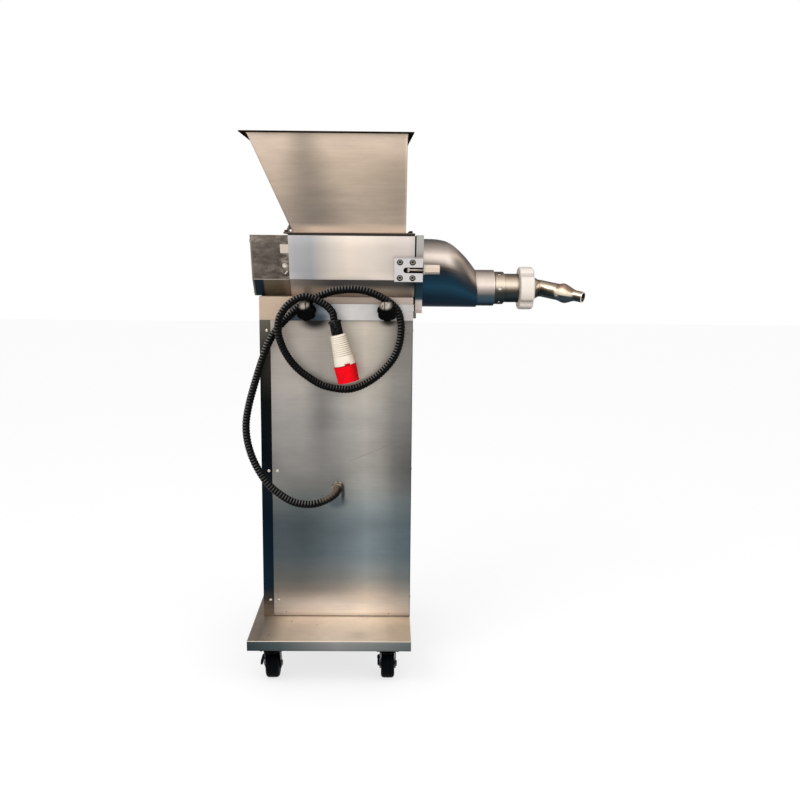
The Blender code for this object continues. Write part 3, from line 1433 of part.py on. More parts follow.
def build_outlet_pieces():
    axis = (MIDDLE, OUTLET_LEVEL)
    spigot_left = RING_LEFT - RING_SPIGOT
    ring = turned(
        "ring_nut",
        [
            (COLLAR_BORE - GAP, -RING_SPIGOT),
            (COLLAR_BORE - GAP, 0),
            (RING_RADIUS, 0),
            (RING_RADIUS, RING_LENGTH),
            (PIPE_RADIUS + GAP, RING_LENGTH),
            (PIPE_RADIUS + GAP, -RING_SPIGOT),
        ],
        BRUSHED,
        along_x(RING_LEFT, *axis),
        bore=True,
    )
    middle = along_x(RING_LEFT + RING_LENGTH / 2, *axis)
    for i in range(RING_HOLES):
        turn = Matrix.Rotation(2 * math.pi * i / RING_HOLES, 4, "Z")
        outward = middle @ turn @ Matrix.Rotation(math.pi / 2, 4, "Y")
        cut(ring, cylinder(
            f"spanner_hole_{i}", RING_HOLE_RADIUS, RING_HOLE_DEPTH + OVERRUN, BRUSHED,
            outward @ at(0, 0, RING_RADIUS - RING_HOLE_DEPTH), PIN_STEPS,
        ))

    flange_left = spigot_left - GAP - PIPE_FLANGE_THICK
    bore = PIPE_RADIUS - PIPE_WALL
    turned(
        "outlet_pipe",
        [
            (COLLAR_BORE - GAP, flange_left),
            (COLLAR_BORE - GAP, flange_left + PIPE_FLANGE_THICK),
            (PIPE_RADIUS, flange_left + PIPE_FLANGE_THICK),
            (PIPE_RADIUS, PIPE_END),
            (bore, PIPE_END),
            (bore, flange_left),
        ],
        BRUSHED,
        along_x(0, *axis),
        bore=True,
    )

    seat = along_x(UNION_LEFT, *axis)
    union = extruded("union_nut", [circle(UNION_RADIUS, UNION_SIDES)], UNION_LENGTH, WHITE_PLASTIC, seat)
    rounded(union, UNION_CORNER, segments=2)
    lip = UNION_LENGTH - UNION_LIP
    union_bore = turned(
        "union_bore",
        [
            (0, -OVERRUN),
            (PIPE_RADIUS + GAP, -OVERRUN),
            (PIPE_RADIUS + GAP, lip),
            (NOZZLE_NECK_RADIUS + GAP, lip),
            (NOZZLE_NECK_RADIUS + GAP, UNION_LENGTH + OVERRUN),
            (0, UNION_LENGTH + OVERRUN),
        ],
        WHITE_PLASTIC,
        along_x(UNION_LEFT, *axis),
    )
    cut(union, union_bore)


def nozzle_rings(inset, overrun):
    """Rings along the nozzle: a flange behind the nut's lip, neck, cone, mitred bend, ears and tip."""
    lip_left = UNION_RIGHT - UNION_LIP
    straight = []
    if inset:
        straight.append((NOZZLE_LEFT - overrun, NOZZLE_NECK_RADIUS - inset))
    else:
        straight.append((NOZZLE_LEFT, NOZZLE_FLANGE_RADIUS))
        straight.append((lip_left - GAP, NOZZLE_FLANGE_RADIUS))
        straight.append((lip_left - GAP / 2, NOZZLE_NECK_RADIUS))
    straight.append((UNION_RIGHT, NOZZLE_NECK_RADIUS - inset))
    cone_radius = NOZZLE_PIPE_RADIUS + CONE_MIDDLE_SHARE * (NOZZLE_NECK_RADIUS - NOZZLE_PIPE_RADIUS)
    straight.append((UNION_RIGHT + NOZZLE_CONE_LENGTH / 2, cone_radius - inset))
    bend_normal = FLOW.cross(NOZZLE_AXIS).normalized()
    first = bend_normal.cross(FLOW)
    rings = [
        ring_points(Vector((x, MIDDLE, OUTLET_LEVEL)), first, bend_normal, radius, radius)
        for x, radius in straight
    ]
    bisector = (FLOW + NOZZLE_AXIS).normalized()
    mitre = bend_normal.cross(bisector)
    pipe = NOZZLE_PIPE_RADIUS - inset
    rings.append(ring_points(BEND_POINT, mitre, bend_normal, pipe / math.cos(NOZZLE_BEND_ANGLE / 2), pipe))
    last = bend_normal.cross(NOZZLE_AXIS)
    tip = NOZZLE_TIP_RADIUS - inset
    for share, across, up in (
        (EAR_FOOT_SHARE, pipe, pipe),
        (EAR_LOW_SHARE, EAR_HALF_DEPTH - inset, EAR_HALF_HEIGHT - inset),
        (EAR_HIGH_SHARE, EAR_HALF_DEPTH - inset, EAR_HALF_HEIGHT - inset),
        (TIP_SHARE, tip, tip),
        (1, tip, tip),
    ):
        reach = share * NOZZLE_REACH + (overrun if share == 1 else 0)
        rings.append(ring_points(BEND_POINT + reach * NOZZLE_AXIS, last, bend_normal, across, up))
    return rings


def build_nozzle():
    nozzle = lofted("nozzle", nozzle_rings(0, 0), BRUSHED, BEND_POINT)
    cut(nozzle, lofted("nozzle_bore", nozzle_rings(NOZZLE_WALL, OVERRUN), BRUSHED))


# Conduit and plug


def smooth_route(points):
    """A Catmull-Rom curve through the route's points, and how far along it each of its own points lies."""
    ends = [2 * points[0] - points[1], *points, 2 * points[-1] - points[-2]]
    fine = []
    parts = 24
    for a, b, c, d in zip(ends, ends[1:], ends[2:], ends[3:]):
        for i in range(parts):
            t = i / parts
            square = (2 * a - 5 * b + 4 * c - d) * t**2
            cube = (3 * b - a - 3 * c + d) * t**3
            fine.append((2 * b + (c - a) * t + square + cube) / 2)
    fine.append(points[-1])
    lengths = [0.0]
    for a, b in zip(fine, fine[1:]):
        lengths.append(lengths[-1] + (b - a).length)
    return fine, lengths


def evenly(points, count):
    """As many points as count, evenly spaced along the smooth route, and its length."""
    fine, lengths = smooth_route(points)
    total = lengths[-1]
    result = []
    k = 0
    for i in range(count):
        wanted = total * i / (count - 1)
        while k < len(lengths) - 2 and lengths[k + 1] < wanted:
            k += 1
        span = lengths[k + 1] - lengths[k]
        result.append(fine[k].lerp(fine[k + 1], (wanted - lengths[k]) / span if span else 0))
    return result, total


def tube(name, points, radii, look):
    """A tube of ten sides along the points, as wide at each as its radius says."""
    curve = bpy.data.curves.new(name, "CURVE")
    curve.dimensions = "3D"
    curve.bevel_depth = 1
    curve.bevel_resolution = 2
    curve.use_fill_caps = True
    curve.materials.append(look)
    spline = curve.splines.new("POLY")
    spline.points.add(len(points) - 1)
    for point, place_at, radius in zip(spline.points, points, radii):
        point.co = (*place_at, 1)
        point.radius = radius
    obj = bpy.data.objects.new(name, curve)
    MACHINE.objects.link(obj)
    obj.parent = ROOT
    return baked(obj)


def conduit_route():
    """The route with a straight run, one diameter long and square to what it meets, at both ends."""
    run = 2 * CONDUIT_RADIUS
    return [
        CONDUIT_START,
        CONDUIT_START + CONDUIT_OUTWARD * run / 2,
        CONDUIT_START + CONDUIT_OUTWARD * run,
        *(on_route(*point) for point in CONDUIT_ROUTE),
        CONDUIT_END - PLUG_DIRECTION * run,
        CONDUIT_END - PLUG_DIRECTION * run / 2,
        CONDUIT_END,
    ]


def build_conduit():
    route = conduit_route()
    points, total = evenly(route, 2 * CONDUIT_RIBS)
    groove = CONDUIT_RADIUS - CONDUIT_GROOVE
    radii = [CONDUIT_RADIUS if i % 2 else groove for i in range(len(points))]
    conduit = tube("power_conduit", points, radii, BLACK_PLASTIC)
    inner, _ = evenly(route, CONDUIT_BORE_POINTS)
    start = inner[0] + (inner[0] - inner[1]).normalized() * OVERRUN
    end = inner[-1] + (inner[-1] - inner[-2]).normalized() * OVERRUN
    inner = [start, *inner[1:-1], end]
    cut(conduit, tube("conduit_bore", inner, [CONDUIT_BORE] * len(inner), BLACK_PLASTIC))

    print(f"conduit length {total:.3f} m")


def build_gland():
    """The cable gland of the front panel, with its thread through the panel."""
    seat = along_y(GLAND_X, -GAP, GLAND_LEVEL)
    gland = extruded(
        "cable_gland", [circle(GLAND_HEX_CORNER, NUT_SIDES)], GLAND_HEX_THICK, NICKEL, seat
    )
    cap = turned(
        "gland_cap",
        [
            (0, -GLAND_THREAD_LENGTH),
            (GLAND_THREAD_RADIUS, -GLAND_THREAD_LENGTH),
            (GLAND_THREAD_RADIUS, GLAND_HEX_THICK / 2),
            (GLAND_CAP_RADIUS, GLAND_HEX_THICK / 2),
            (GLAND_CAP_RADIUS, GLAND_HEX_THICK + GLAND_CAP_LENGTH),
            (0, GLAND_HEX_THICK + GLAND_CAP_LENGTH),
        ],
        NICKEL,
        seat,
        steps=BORE_STEPS,
    )
    bore = cylinder(
        "gland_bore",
        GLAND_BORE,
        GLAND_THREAD_LENGTH + GLAND_HEX_THICK + GLAND_CAP_LENGTH + 2 * OVERRUN,
        NICKEL,
        seat @ at(0, 0, -GLAND_THREAD_LENGTH - OVERRUN),
        PIN_STEPS,
    )
    cut(join(gland, cap), bore)


def build_plug():
    direction = PLUG_DIRECTION
    start = CONDUIT_END + GAP * direction
    turned(
        "conduit_sleeve",
        [
            (0, 0),
            (SLEEVE_LIP_RADIUS, 0),
            (SLEEVE_LIP_RADIUS, SLEEVE_LIP_LENGTH),
            (SLEEVE_RADIUS, SLEEVE_LIP_LENGTH),
            (SLEEVE_RADIUS, SLEEVE_LENGTH),
            (0, SLEEVE_LENGTH),
        ],
        BLACK_RUBBER,
        along(start, direction),
        steps=BORE_STEPS,
    )
    start += (SLEEVE_LENGTH + GAP) * direction
    ribbed = PLUG_RIB_SHARE * PLUG_LENGTH
    pitch = ribbed / PLUG_RIBS
    profile = [(0, 0), (PLUG_TOP_RADIUS - PLUG_EDGE, 0)]

    def radius_at(height):
        return PLUG_TOP_RADIUS + (PLUG_BOTTOM_RADIUS - PLUG_TOP_RADIUS) * height / PLUG_LENGTH

    for i in range(PLUG_RIBS):
        foot = i * pitch + PLUG_EDGE / 2
        profile.append((radius_at(foot), foot))
        profile.append((radius_at(foot + pitch / 2), foot + pitch / 2))
        profile.append((radius_at(foot + 3 * pitch / 4) - PLUG_RIB_DEPTH, foot + 3 * pitch / 4))
    skirt = ribbed + pitch / 2
    profile += [(radius_at(skirt), skirt), (PLUG_BOTTOM_RADIUS, PLUG_LENGTH), (0, PLUG_LENGTH)]
    turned("plug_body", profile, IVORY_PLASTIC, along(start, direction), steps=BORE_STEPS)

    start += (PLUG_LENGTH + GAP) * direction
    floor = CONTACT_DISC_THICK / 2
    turned(
        "plug_collar",
        [
            (0, 0),
            (COLLAR_TOP_RADIUS, 0),
            (COLLAR_END_RADIUS, COLLAR_PLUG_LENGTH),
            (COLLAR_END_RADIUS - COLLAR_PLUG_WALL, COLLAR_PLUG_LENGTH),
            (COLLAR_END_RADIUS - COLLAR_PLUG_WALL, floor),
            (0, floor),
        ],
        RED_PLASTIC,
        along(start, direction),
        steps=BORE_STEPS,
    )
    seat = along(start + (floor + GAP) * direction, direction)
    disc_radius = COLLAR_END_RADIUS - COLLAR_PLUG_WALL - GAP
    contacts = cylinder("plug_contacts", disc_radius, CONTACT_DISC_THICK, BLACK_PLASTIC, seat, BORE_STEPS)
    for i, (x, y) in enumerate(circle(CONTACT_CIRCLE, CONTACT_COUNT)):
        frame = seat @ at(x, y, CONTACT_DISC_THICK / 2)
        pin = cylinder(f"contact_{i}", CONTACT_RADIUS, CONTACT_LENGTH, BRASS, frame, CONTACT_STEPS)
        join(contacts, pin)


def build():
    front_row, rear_row = build_base_tray()
    left = CASTER_SIDE_INSET + TRAY_LEFT
    right = CABINET_WIDTH - CASTER_SIDE_INSET
    for end, y in (("front", front_row), ("rear", rear_row)):
        for side, x in (("left", left), ("right", right)):
            build_caster(f"{end}_{side}", x, y, end == "front", TRAIL if end == "front" else -TRAIL)
    build_cabinet()
    build_hook_strip()
    build_drive()
    build_trough()
    build_drive_housing()
    build_auger("front", FRONT_AUGER_Y, 1)
    build_auger("rear", REAR_AUGER_Y, -1)
    build_hopper()
    build_outlet_head()
    for side in ("front", "rear"):
        build_clamp(side)
    build_outlet_pieces()
    build_nozzle()
    build_gland()
    build_conduit()
    build_plug()
    rim_left = HOPPER_MOUTH_LEFT - RIM_WIDTH
    tip_reach = NOZZLE_END.x + NOZZLE_TIP_RADIUS * math.sin(NOZZLE_BEND_ANGLE)
    ROOT.location = (-(rim_left + tip_reach) / 2, -MIDDLE, 0)


build()
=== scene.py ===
"""The looks of a horizontal filling machine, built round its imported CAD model.

Numbers are in metres in the machine's own frame: X to the right from the cabinet's left side, Y to the back
from its front and Z up from the floor. A piece moves into the row's frame as it is finished.
"""

import json
import math

import bmesh
import bpy
from mathutils import Matrix, Vector

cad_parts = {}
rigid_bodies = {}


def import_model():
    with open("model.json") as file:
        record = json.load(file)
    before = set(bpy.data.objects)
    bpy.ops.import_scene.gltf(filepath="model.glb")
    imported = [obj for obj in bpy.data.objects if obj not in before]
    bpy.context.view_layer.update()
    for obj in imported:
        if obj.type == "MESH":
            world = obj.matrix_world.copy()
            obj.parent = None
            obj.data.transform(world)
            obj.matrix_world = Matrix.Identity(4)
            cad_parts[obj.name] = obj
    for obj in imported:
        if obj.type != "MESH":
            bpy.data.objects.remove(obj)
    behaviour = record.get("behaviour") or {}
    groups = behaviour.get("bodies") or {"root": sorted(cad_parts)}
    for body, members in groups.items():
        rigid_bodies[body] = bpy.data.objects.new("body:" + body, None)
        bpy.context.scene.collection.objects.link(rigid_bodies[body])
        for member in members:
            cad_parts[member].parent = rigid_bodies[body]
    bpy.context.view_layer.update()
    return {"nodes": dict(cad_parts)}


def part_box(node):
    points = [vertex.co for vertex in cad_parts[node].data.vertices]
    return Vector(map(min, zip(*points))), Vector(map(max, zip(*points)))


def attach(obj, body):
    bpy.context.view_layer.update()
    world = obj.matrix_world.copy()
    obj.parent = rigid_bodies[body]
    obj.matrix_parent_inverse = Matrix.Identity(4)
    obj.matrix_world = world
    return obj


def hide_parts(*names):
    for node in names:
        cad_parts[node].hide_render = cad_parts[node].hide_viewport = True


for leftover in list(bpy.data.objects):
    bpy.data.objects.remove(leftover)
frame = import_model()
NODES = frame["nodes"]
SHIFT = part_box("top_frame")[0] - Vector((0, 0, 0.9363))
CREASE = math.radians(35)
BEVELLED_CREASE = math.radians(60)
GAP = 0.0003
MIDDLE = 0.120
UP = Vector((0, 0, 1))
FLOW = Vector((1, 0, 0))
NOZZLE_ANGLE = math.radians(35)
NOZZLE_ROLL = math.radians(16.6)
NOZZLE_AXIS = Vector((
    math.cos(NOZZLE_ANGLE),
    -math.sin(NOZZLE_ANGLE) * math.cos(NOZZLE_ROLL),
    -math.sin(NOZZLE_ANGLE) * math.sin(NOZZLE_ROLL),
))
OUTLET_LEVEL = 1.0195
BEND = Vector((0.750, MIDDLE, OUTLET_LEVEL))
GLAND_X = 0.2037
GLAND_LEVEL = 0.4904
HOSE_END = Vector((0.1983, -0.0500, 0.9398))
PLUG_DIRECTION = Vector((0.228, 0, -0.974)).normalized()


# Camera, at the photograph's place

PITCH = math.radians(9.233)
YAW = math.radians(0.691)
ROLL = math.radians(-0.51)
CAMERA_PLACE = (-0.0703554, -2.5166, 1.1175)
LENS_LENGTH = 41.36
SENSOR_WIDTH = 36


def make_camera():
    ahead = Vector((
        math.sin(YAW) * math.cos(PITCH), math.cos(YAW) * math.cos(PITCH), -math.sin(PITCH)
    ))
    level_right = Vector((math.cos(YAW), -math.sin(YAW), 0))
    level_down = ahead.cross(level_right)
    right = level_right * math.cos(ROLL) + level_down * math.sin(ROLL)
    down = level_down * math.cos(ROLL) - level_right * math.sin(ROLL)
    data = bpy.data.cameras.new("photo_camera")
    data.lens = LENS_LENGTH
    data.sensor_width = SENSOR_WIDTH
    camera = bpy.data.objects.new("photo_camera", data)
    bpy.context.scene.collection.objects.link(camera)
    place = Matrix((right, -down, -ahead)).transposed().to_4x4()
    place.translation = CAMERA_PLACE
    camera.matrix_world = place
    bpy.context.scene.camera = camera


make_camera()


# Node trees: sockets with arithmetic, one way to add a node, and a material with its places at hand


class Sock:
    """An output socket. Arithmetic on it adds Math nodes to its tree."""

    def __init__(self, nodes, socket):
        self.nodes = nodes
        self.socket = socket

    def math(self, operation, first, second=0.0):
        return self.nodes.add("ShaderNodeMath", {"operation": operation}, {0: first, 1: second})

    def beside(self, out):
        """Another output of the same node."""
        return Sock(self.nodes, self.socket.node.outputs[out])

    def __add__(self, other):
        return self.math("ADD", self, other)

    def __sub__(self, other):
        return self.math("SUBTRACT", self, other)

    def __rsub__(self, other):
        return self.math("SUBTRACT", other, self)

    def __mul__(self, other):
        return self.math("MULTIPLY", self, other)

    def __truediv__(self, other):
        return self.math("DIVIDE", self, other)

    def __rtruediv__(self, other):
        return self.math("DIVIDE", other, self)

    def __pow__(self, other):
        return self.math("POWER", self, other)

    def __rpow__(self, other):
        return self.math("POWER", other, self)

    def __abs__(self):
        return self.math("ABSOLUTE", self)

    __radd__ = __add__
    __rmul__ = __mul__


class Nodes:
    """A node tree, emptied, and the one way in which nodes are added to it."""

    def __init__(self, tree):
        self.tree = tree
        tree.nodes.clear()

    def add(self, kind, settings=None, inputs=None, out=0):
        node = self.tree.nodes.new(kind)
        for name, value in (settings or {}).items():
            if name == "stops":
                fill_ramp(node.color_ramp, value)
            else:
                setattr(node, name, value)
        for key, value in (inputs or {}).items():
            for one in value if isinstance(value, list) else [value]:
                if isinstance(one, Sock):
                    self.tree.links.new(one.socket, node.inputs[key])
                else:
                    node.inputs[key].default_value = one
        return Sock(self, node.outputs[out] if node.outputs else None)


def fill_ramp(ramp, stops):
    while len(ramp.elements) > 1:
        ramp.elements.remove(ramp.elements[-1])
    ramp.elements[0].position, ramp.elements[0].color = stops[0]
    for position, colour in stops[1:]:
        ramp.elements.new(position).color = colour


def tone(red, green, blue):
    """A colour in linear light, from the bytes that a screen shows."""
    shares = [value / 255 for value in (red, green, blue)]
    return (*(s / 12.92 if s <= 0.04045 else ((s + 0.055) / 1.055) ** 2.4 for s in shares), 1)


class Look(Nodes):
    """A material being made. It reads places in the machine's frame and the surface's own normal."""

    def __init__(self, name):
        self.material = bpy.data.materials.new(name)
        self.material.use_nodes = True
        super().__init__(self.material.node_tree)
        own = self.add("ShaderNodeTexCoord", out="Object")
        self.place = self.add("ShaderNodeMapping", {}, {"Vector": own, "Location": tuple(-SHIFT)})
        self.x, self.y, self.z = self.parts(self.place)
        self.nx, self.ny, self.nz = self.parts(own.beside("Normal"))

    def parts(self, vector):
        first = self.add("ShaderNodeSeparateXYZ", {}, {0: vector})
        return first, first.beside(1), first.beside(2)

    def fade(self, value, low, high):
        """0 below low and 1 above high, smooth between; the other way round where low is above high."""
        ends = {"Value": value, "From Min": low, "From Max": high}
        return self.add("ShaderNodeMapRange", {"interpolation_type": "SMOOTHSTEP"}, ends)

    def hump(self, value, centre, half):
        """1 at the centre, down to 0 at half a width on either side."""
        return self.fade(abs((value - centre) / half), 1.0, 0.0)

    def along(self, start, direction):
        """How far a place lies from start along a direction."""
        away = self.add("ShaderNodeVectorMath", {"operation": "SUBTRACT"}, {0: self.place, 1: start})
        dot = {"operation": "DOT_PRODUCT"}
        return self.add("ShaderNodeVectorMath", dot, {0: away, 1: direction}, out="Value")

    def oval(self, x, z, half_x, half_z, core=0.3):
        """1 in the middle of an oval in the machine's X and Z, down to 0 at its edge."""
        across, up = (self.x - x) / half_x, (self.z - z) / half_z
        return self.fade((across * across + up * up) ** 0.5, 1.0, core)

    def levels(self, value, stops):
        """Colours along a value, from stops of (value, red, green, blue)."""
        low, high = stops[0][0], stops[-1][0]
        share = self.add("ShaderNodeMapRange", {}, {"Value": value, "From Min": low, "From Max": high})
        scaled = [((level - low) / (high - low), tone(*colour)) for level, *colour in stops]
        return self.add("ShaderNodeValToRGB", {"stops": scaled}, {0: share})

    def blend(self, share, first, second):
        return self.add("ShaderNodeMix", {"data_type": "RGBA"}, {0: share, 6: first, 7: second}, out=2)

    def scaled(self, colour, factor):
        base = colour if isinstance(colour, Sock) else colour[:3]
        return self.add("ShaderNodeVectorMath", {"operation": "SCALE"}, {0: base, "Scale": factor})

    def noise(self, stretch, detail=3.0, roughness=0.5):
        """Noise of a fineness, which is one number or one for each direction."""
        scale = stretch if isinstance(stretch, tuple) else (stretch, stretch, stretch)
        spread = self.add("ShaderNodeMapping", {}, {"Vector": self.place, "Scale": scale})
        settings = {"Vector": spread, "Scale": 1.0, "Detail": detail, "Roughness": roughness}
        return self.add("ShaderNodeTexNoise", {}, settings)

    def finish(self, colour, roughness, relief=None, depth=0.0001, **constants):
        """Ends the material in one shader. Constants are its other sockets, with _ for a space."""
        inputs = {"Base Color": colour, "Roughness": roughness}
        inputs.update({name.replace("_", " "): value for name, value in constants.items()})
        if relief is not None:
            inputs["Normal"] = self.add("ShaderNodeBump", {}, {"Height": relief, "Distance": depth})
        shader = self.add("ShaderNodeBsdfPrincipled", {}, inputs)
        self.add("ShaderNodeOutputMaterial", {}, {"Surface": shader})
        return self.material


# Surroundings

LIT_AIR = 0.72
SEEN_AIR = 1.0
FLOOR_HALF = 12.0
MIRRORED_FLOOR = 1.0
SEEN_FLOOR = 1.16
FLOOR_WHITENING = 0.62


def make_world():
    world = bpy.data.worlds.new("studio")
    world.use_nodes = True
    bpy.context.scene.world = world
    air = Nodes(world.node_tree)
    ray = air.add("ShaderNodeLightPath", out="Is Camera Ray")
    seen = ray.math("MAXIMUM", ray, ray.beside("Is Glossy Ray"))
    seen = ray.math("MAXIMUM", seen, ray.beside("Is Transmission Ray"))
    dim, white = (
        air.add("ShaderNodeBackground", {}, {"Color": (1, 1, 1, 1), "Strength": strength})
        for strength in (LIT_AIR, SEEN_AIR)
    )
    sky = air.add("ShaderNodeMixShader", {}, {0: seen, 1: dim, 2: white})
    air.add("ShaderNodeOutputWorld", {}, {"Surface": sky})


def make_floor():
    mesh = bpy.data.meshes.new("studio_floor")
    corners = [(x * FLOOR_HALF, y * FLOOR_HALF, 0) for x, y in ((-1, -1), (1, -1), (1, 1), (-1, 1))]
    mesh.from_pydata(corners, [], [(0, 1, 2, 3)])
    floor = bpy.data.objects.new("studio_floor", mesh)
    bpy.context.scene.collection.objects.link(floor)
    pale = Look("studio_floor")
    cloud = pale.noise(2.0)
    colour = pale.scaled(tone(243, 243, 242), 0.99 + 0.02 * cloud)
    diffuse = pale.add("ShaderNodeBsdfDiffuse", {}, {"Color": colour})
    ray = pale.add("ShaderNodeLightPath", out="Is Camera Ray")
    mirrored, seen = (
        pale.add("ShaderNodeEmission", {}, {"Color": (1, 1, 1, 1), "Strength": strength})
        for strength in (MIRRORED_FLOOR, SEEN_FLOOR)
    )
    both = pale.add("ShaderNodeMixShader", {}, {0: ray.beside("Is Glossy Ray"), 1: diffuse, 2: mirrored})
    both = pale.add("ShaderNodeMixShader", {}, {0: ray * FLOOR_WHITENING, 1: both, 2: seen})
    pale.add("ShaderNodeOutputMaterial", {}, {"Surface": both})
    mesh.materials.append(pale.material)


def softbox(name, place, aim, size, power):
    data = bpy.data.lights.new(name, "AREA")
    data.shape = "SQUARE"
    data.size = size
    data.energy = power
    lamp = bpy.data.objects.new(name, data)
    bpy.context.scene.collection.objects.link(lamp)
    lamp.location = place
    lamp.rotation_mode = "QUATERNION"
    lamp.rotation_quaternion = (Vector(aim) - Vector(place)).to_track_quat("-Z", "Y")


make_world()
make_floor()
softbox("key_light", (-1.6, -1.6, 2.9), (0, 0, 0.8), 1.6, 26)
softbox("fill_light", (2.0, -1.8, 1.9), (0, 0, 0.7), 1.8, 12)
scene = bpy.context.scene
scene.view_settings.view_transform = "Standard"


# Shapes


def at(x, y, z):
    return Matrix.Translation((x, y, z))


def along_x(x, y, z):
    """A frame whose local X, Y and Z are the machine's Y, Z and X."""
    return at(x, y, z) @ Matrix(((0, 0, 1, 0), (1, 0, 0, 0), (0, 1, 0, 0), (0, 0, 0, 1)))


def along_y(x, y, z):
    """A frame whose local X, Y and Z are the machine's X, Z and -Y, so that local Z points to the front."""
    return at(x, y, z) @ Matrix(((1, 0, 0, 0), (0, 0, -1, 0), (0, 1, 0, 0), (0, 0, 0, 1)))


def along(start, direction):
    """A frame at start whose local Z points along direction."""
    return Matrix.Translation(start) @ direction.to_track_quat("Z", "Y").to_matrix().to_4x4()


def outline(reach, steps, phase=0.0):
    """A closed outline from its reach at each angle, turned by a phase."""
    points = []
    for i in range(steps):
        angle = 2 * math.pi * i / steps
        out = reach(angle)
        points.append((out * math.cos(angle + phase), out * math.sin(angle + phase)))
    return points


def circle(radius, steps, phase=0.0):
    return outline(lambda _: radius, steps, phase)


def polygon(corner, sides, steps, phase=0.0, most=None):
    """A regular outline with as many points as steps, no further out than most."""
    half = math.pi / sides

    def reach(angle):
        from_middle = (angle + half) % (2 * half) - half
        out = corner * math.cos(half) / math.cos(half - abs(from_middle))
        return min(out, most or out)

    return outline(reach, steps, phase)


def stadium(radius, length, steps):
    """A slot's outline from the origin along +X, round at both ends."""
    turn = math.pi / steps
    right = [(length + radius * math.sin(i * turn), -radius * math.cos(i * turn)) for i in range(steps + 1)]
    left = [(-radius * math.sin(i * turn), radius * math.cos(i * turn)) for i in range(steps + 1)]
    return right + left


def rectangle(x0, x1, y0, y1, radius=0.0):
    """A rectangle's outline with rounded corners."""
    if not radius:
        return [(x0, y0), (x1, y0), (x1, y1), (x0, y1)]
    left, right, low, high = x0 + radius, x1 - radius, y0 + radius, y1 - radius
    steps = 5
    points = []
    for x, y, start in ((right, low, -90), (right, high, 0), (left, high, 90), (left, low, 180)):
        for i in range(steps + 1):
            angle = math.radians(start + 90 * i / steps)
            points.append((x + radius * math.cos(angle), y + radius * math.sin(angle)))
    return points


def raised(outline, height):
    return [(x, y, height) for x, y in outline]


class Shape:
    """Closed bodies gathered for one piece. Each takes the paint that is set when it is added."""

    def __init__(self):
        self.bm = bmesh.new()
        self.paint = 0

    def skin(self, rings, place=Matrix(), joined=False):
        """A skin through rings of as many points each, or of one point as a pole, closed at its ends."""
        rows = [[self.bm.verts.new(place @ Vector(point)) for point in ring] for ring in rings]
        faces = []
        pairs = list(zip(rows, rows[1:]))
        if joined:
            pairs.append((rows[-1], rows[0]))
        for low, high in pairs:
            count = max(len(low), len(high))
            for i in range(count):
                j = (i + 1) % count
                around = [low[i % len(low)], low[j % len(low)], high[j % len(high)], high[i % len(high)]]
                faces.append(self.bm.faces.new(list(dict.fromkeys(around))))
        if not joined:
            for row in (rows[0], rows[-1]):
                if len(row) > 2:
                    faces.append(self.bm.faces.new(row))
        bmesh.ops.recalc_face_normals(self.bm, faces=faces)
        for face in faces:
            face.material_index = self.paint
        return self

    def turned(self, profile, place=Matrix(), steps=48, bore=False):
        """A turned body: its profile goes up its outer side as (radius, height), and down any bore."""
        rings = []
        for radius, height in profile:
            rings.append(raised(circle(radius, steps), height) if radius else [(0, 0, height)])
        return self.skin(rings, place, joined=bore)

    def drum(self, radius, low, high, place=Matrix(), steps=48):
        """A plain round body from one height to another."""
        return self.turned([(0, low), (radius, low), (radius, high), (0, high)], place, steps)

    def prism(self, section, length, place=Matrix(), hole=()):
        """A section pushed along local Z, with a hole of as many points."""
        rings = [raised(section, 0), raised(section, length)]
        if hole:
            rings += [raised(hole, length), raised(hole, 0)]
        return self.skin(rings, place, joined=bool(hole))

    def block(self, low, high, place=Matrix()):
        section = rectangle(low[0], high[0], low[1], high[1])
        return self.skin([raised(section, low[2]), raised(section, high[2])], place)

    def bead(self, points, radius):
        """A weld along a closed line of points."""
        rings = []
        for before, point, after in zip(points[-1:] + points, points, points[1:] + points[:1]):
            ahead = (Vector(after) - Vector(before)).normalized()
            side = ahead.cross(UP)
            side = side.normalized() if side.length > 0.1 else ahead.cross(FLOW).normalized()
            rise = side.cross(ahead)
            rings.append([Vector(point) + radius * (side * x + rise * y) for x, y in circle(1, 8)])
        return self.skin(rings, joined=True)

    def copy_of(self, node):
        """The CAD node's own shape, its triangles welded and its flat faces made whole."""
        own = bmesh.new()
        own.from_mesh(NODES[node].data)
        bmesh.ops.remove_doubles(own, verts=own.verts, dist=1e-6)
        bmesh.ops.dissolve_limit(own, angle_limit=math.radians(0.5), verts=own.verts, edges=own.edges)
        own.transform(Matrix.Translation(-SHIFT))
        for face in own.faces:
            face.material_index = self.paint
        mesh = bpy.data.meshes.new(node + "_shape")
        own.to_mesh(mesh)
        own.free()
        self.bm.from_mesh(mesh)
        bpy.data.meshes.remove(mesh)
        return self


def evaluated(name, mesh, change):
    """The mesh after the modifiers that change adds to an object of it."""
    obj = bpy.data.objects.new(name, mesh)
    bpy.context.scene.collection.objects.link(obj)
    change(obj)
    view = bpy.context.evaluated_depsgraph_get()
    made = bpy.data.meshes.new_from_object(
        obj.evaluated_get(view), preserve_all_data_layers=True, depsgraph=view
    )
    bpy.data.objects.remove(obj)
    return made


def mesh_of(shape, name, looks):
    mesh = bpy.data.meshes.new(name)
    shape.bm.to_mesh(mesh)
    shape.bm.free()
    for look in looks:
        mesh.materials.append(look)
    return mesh


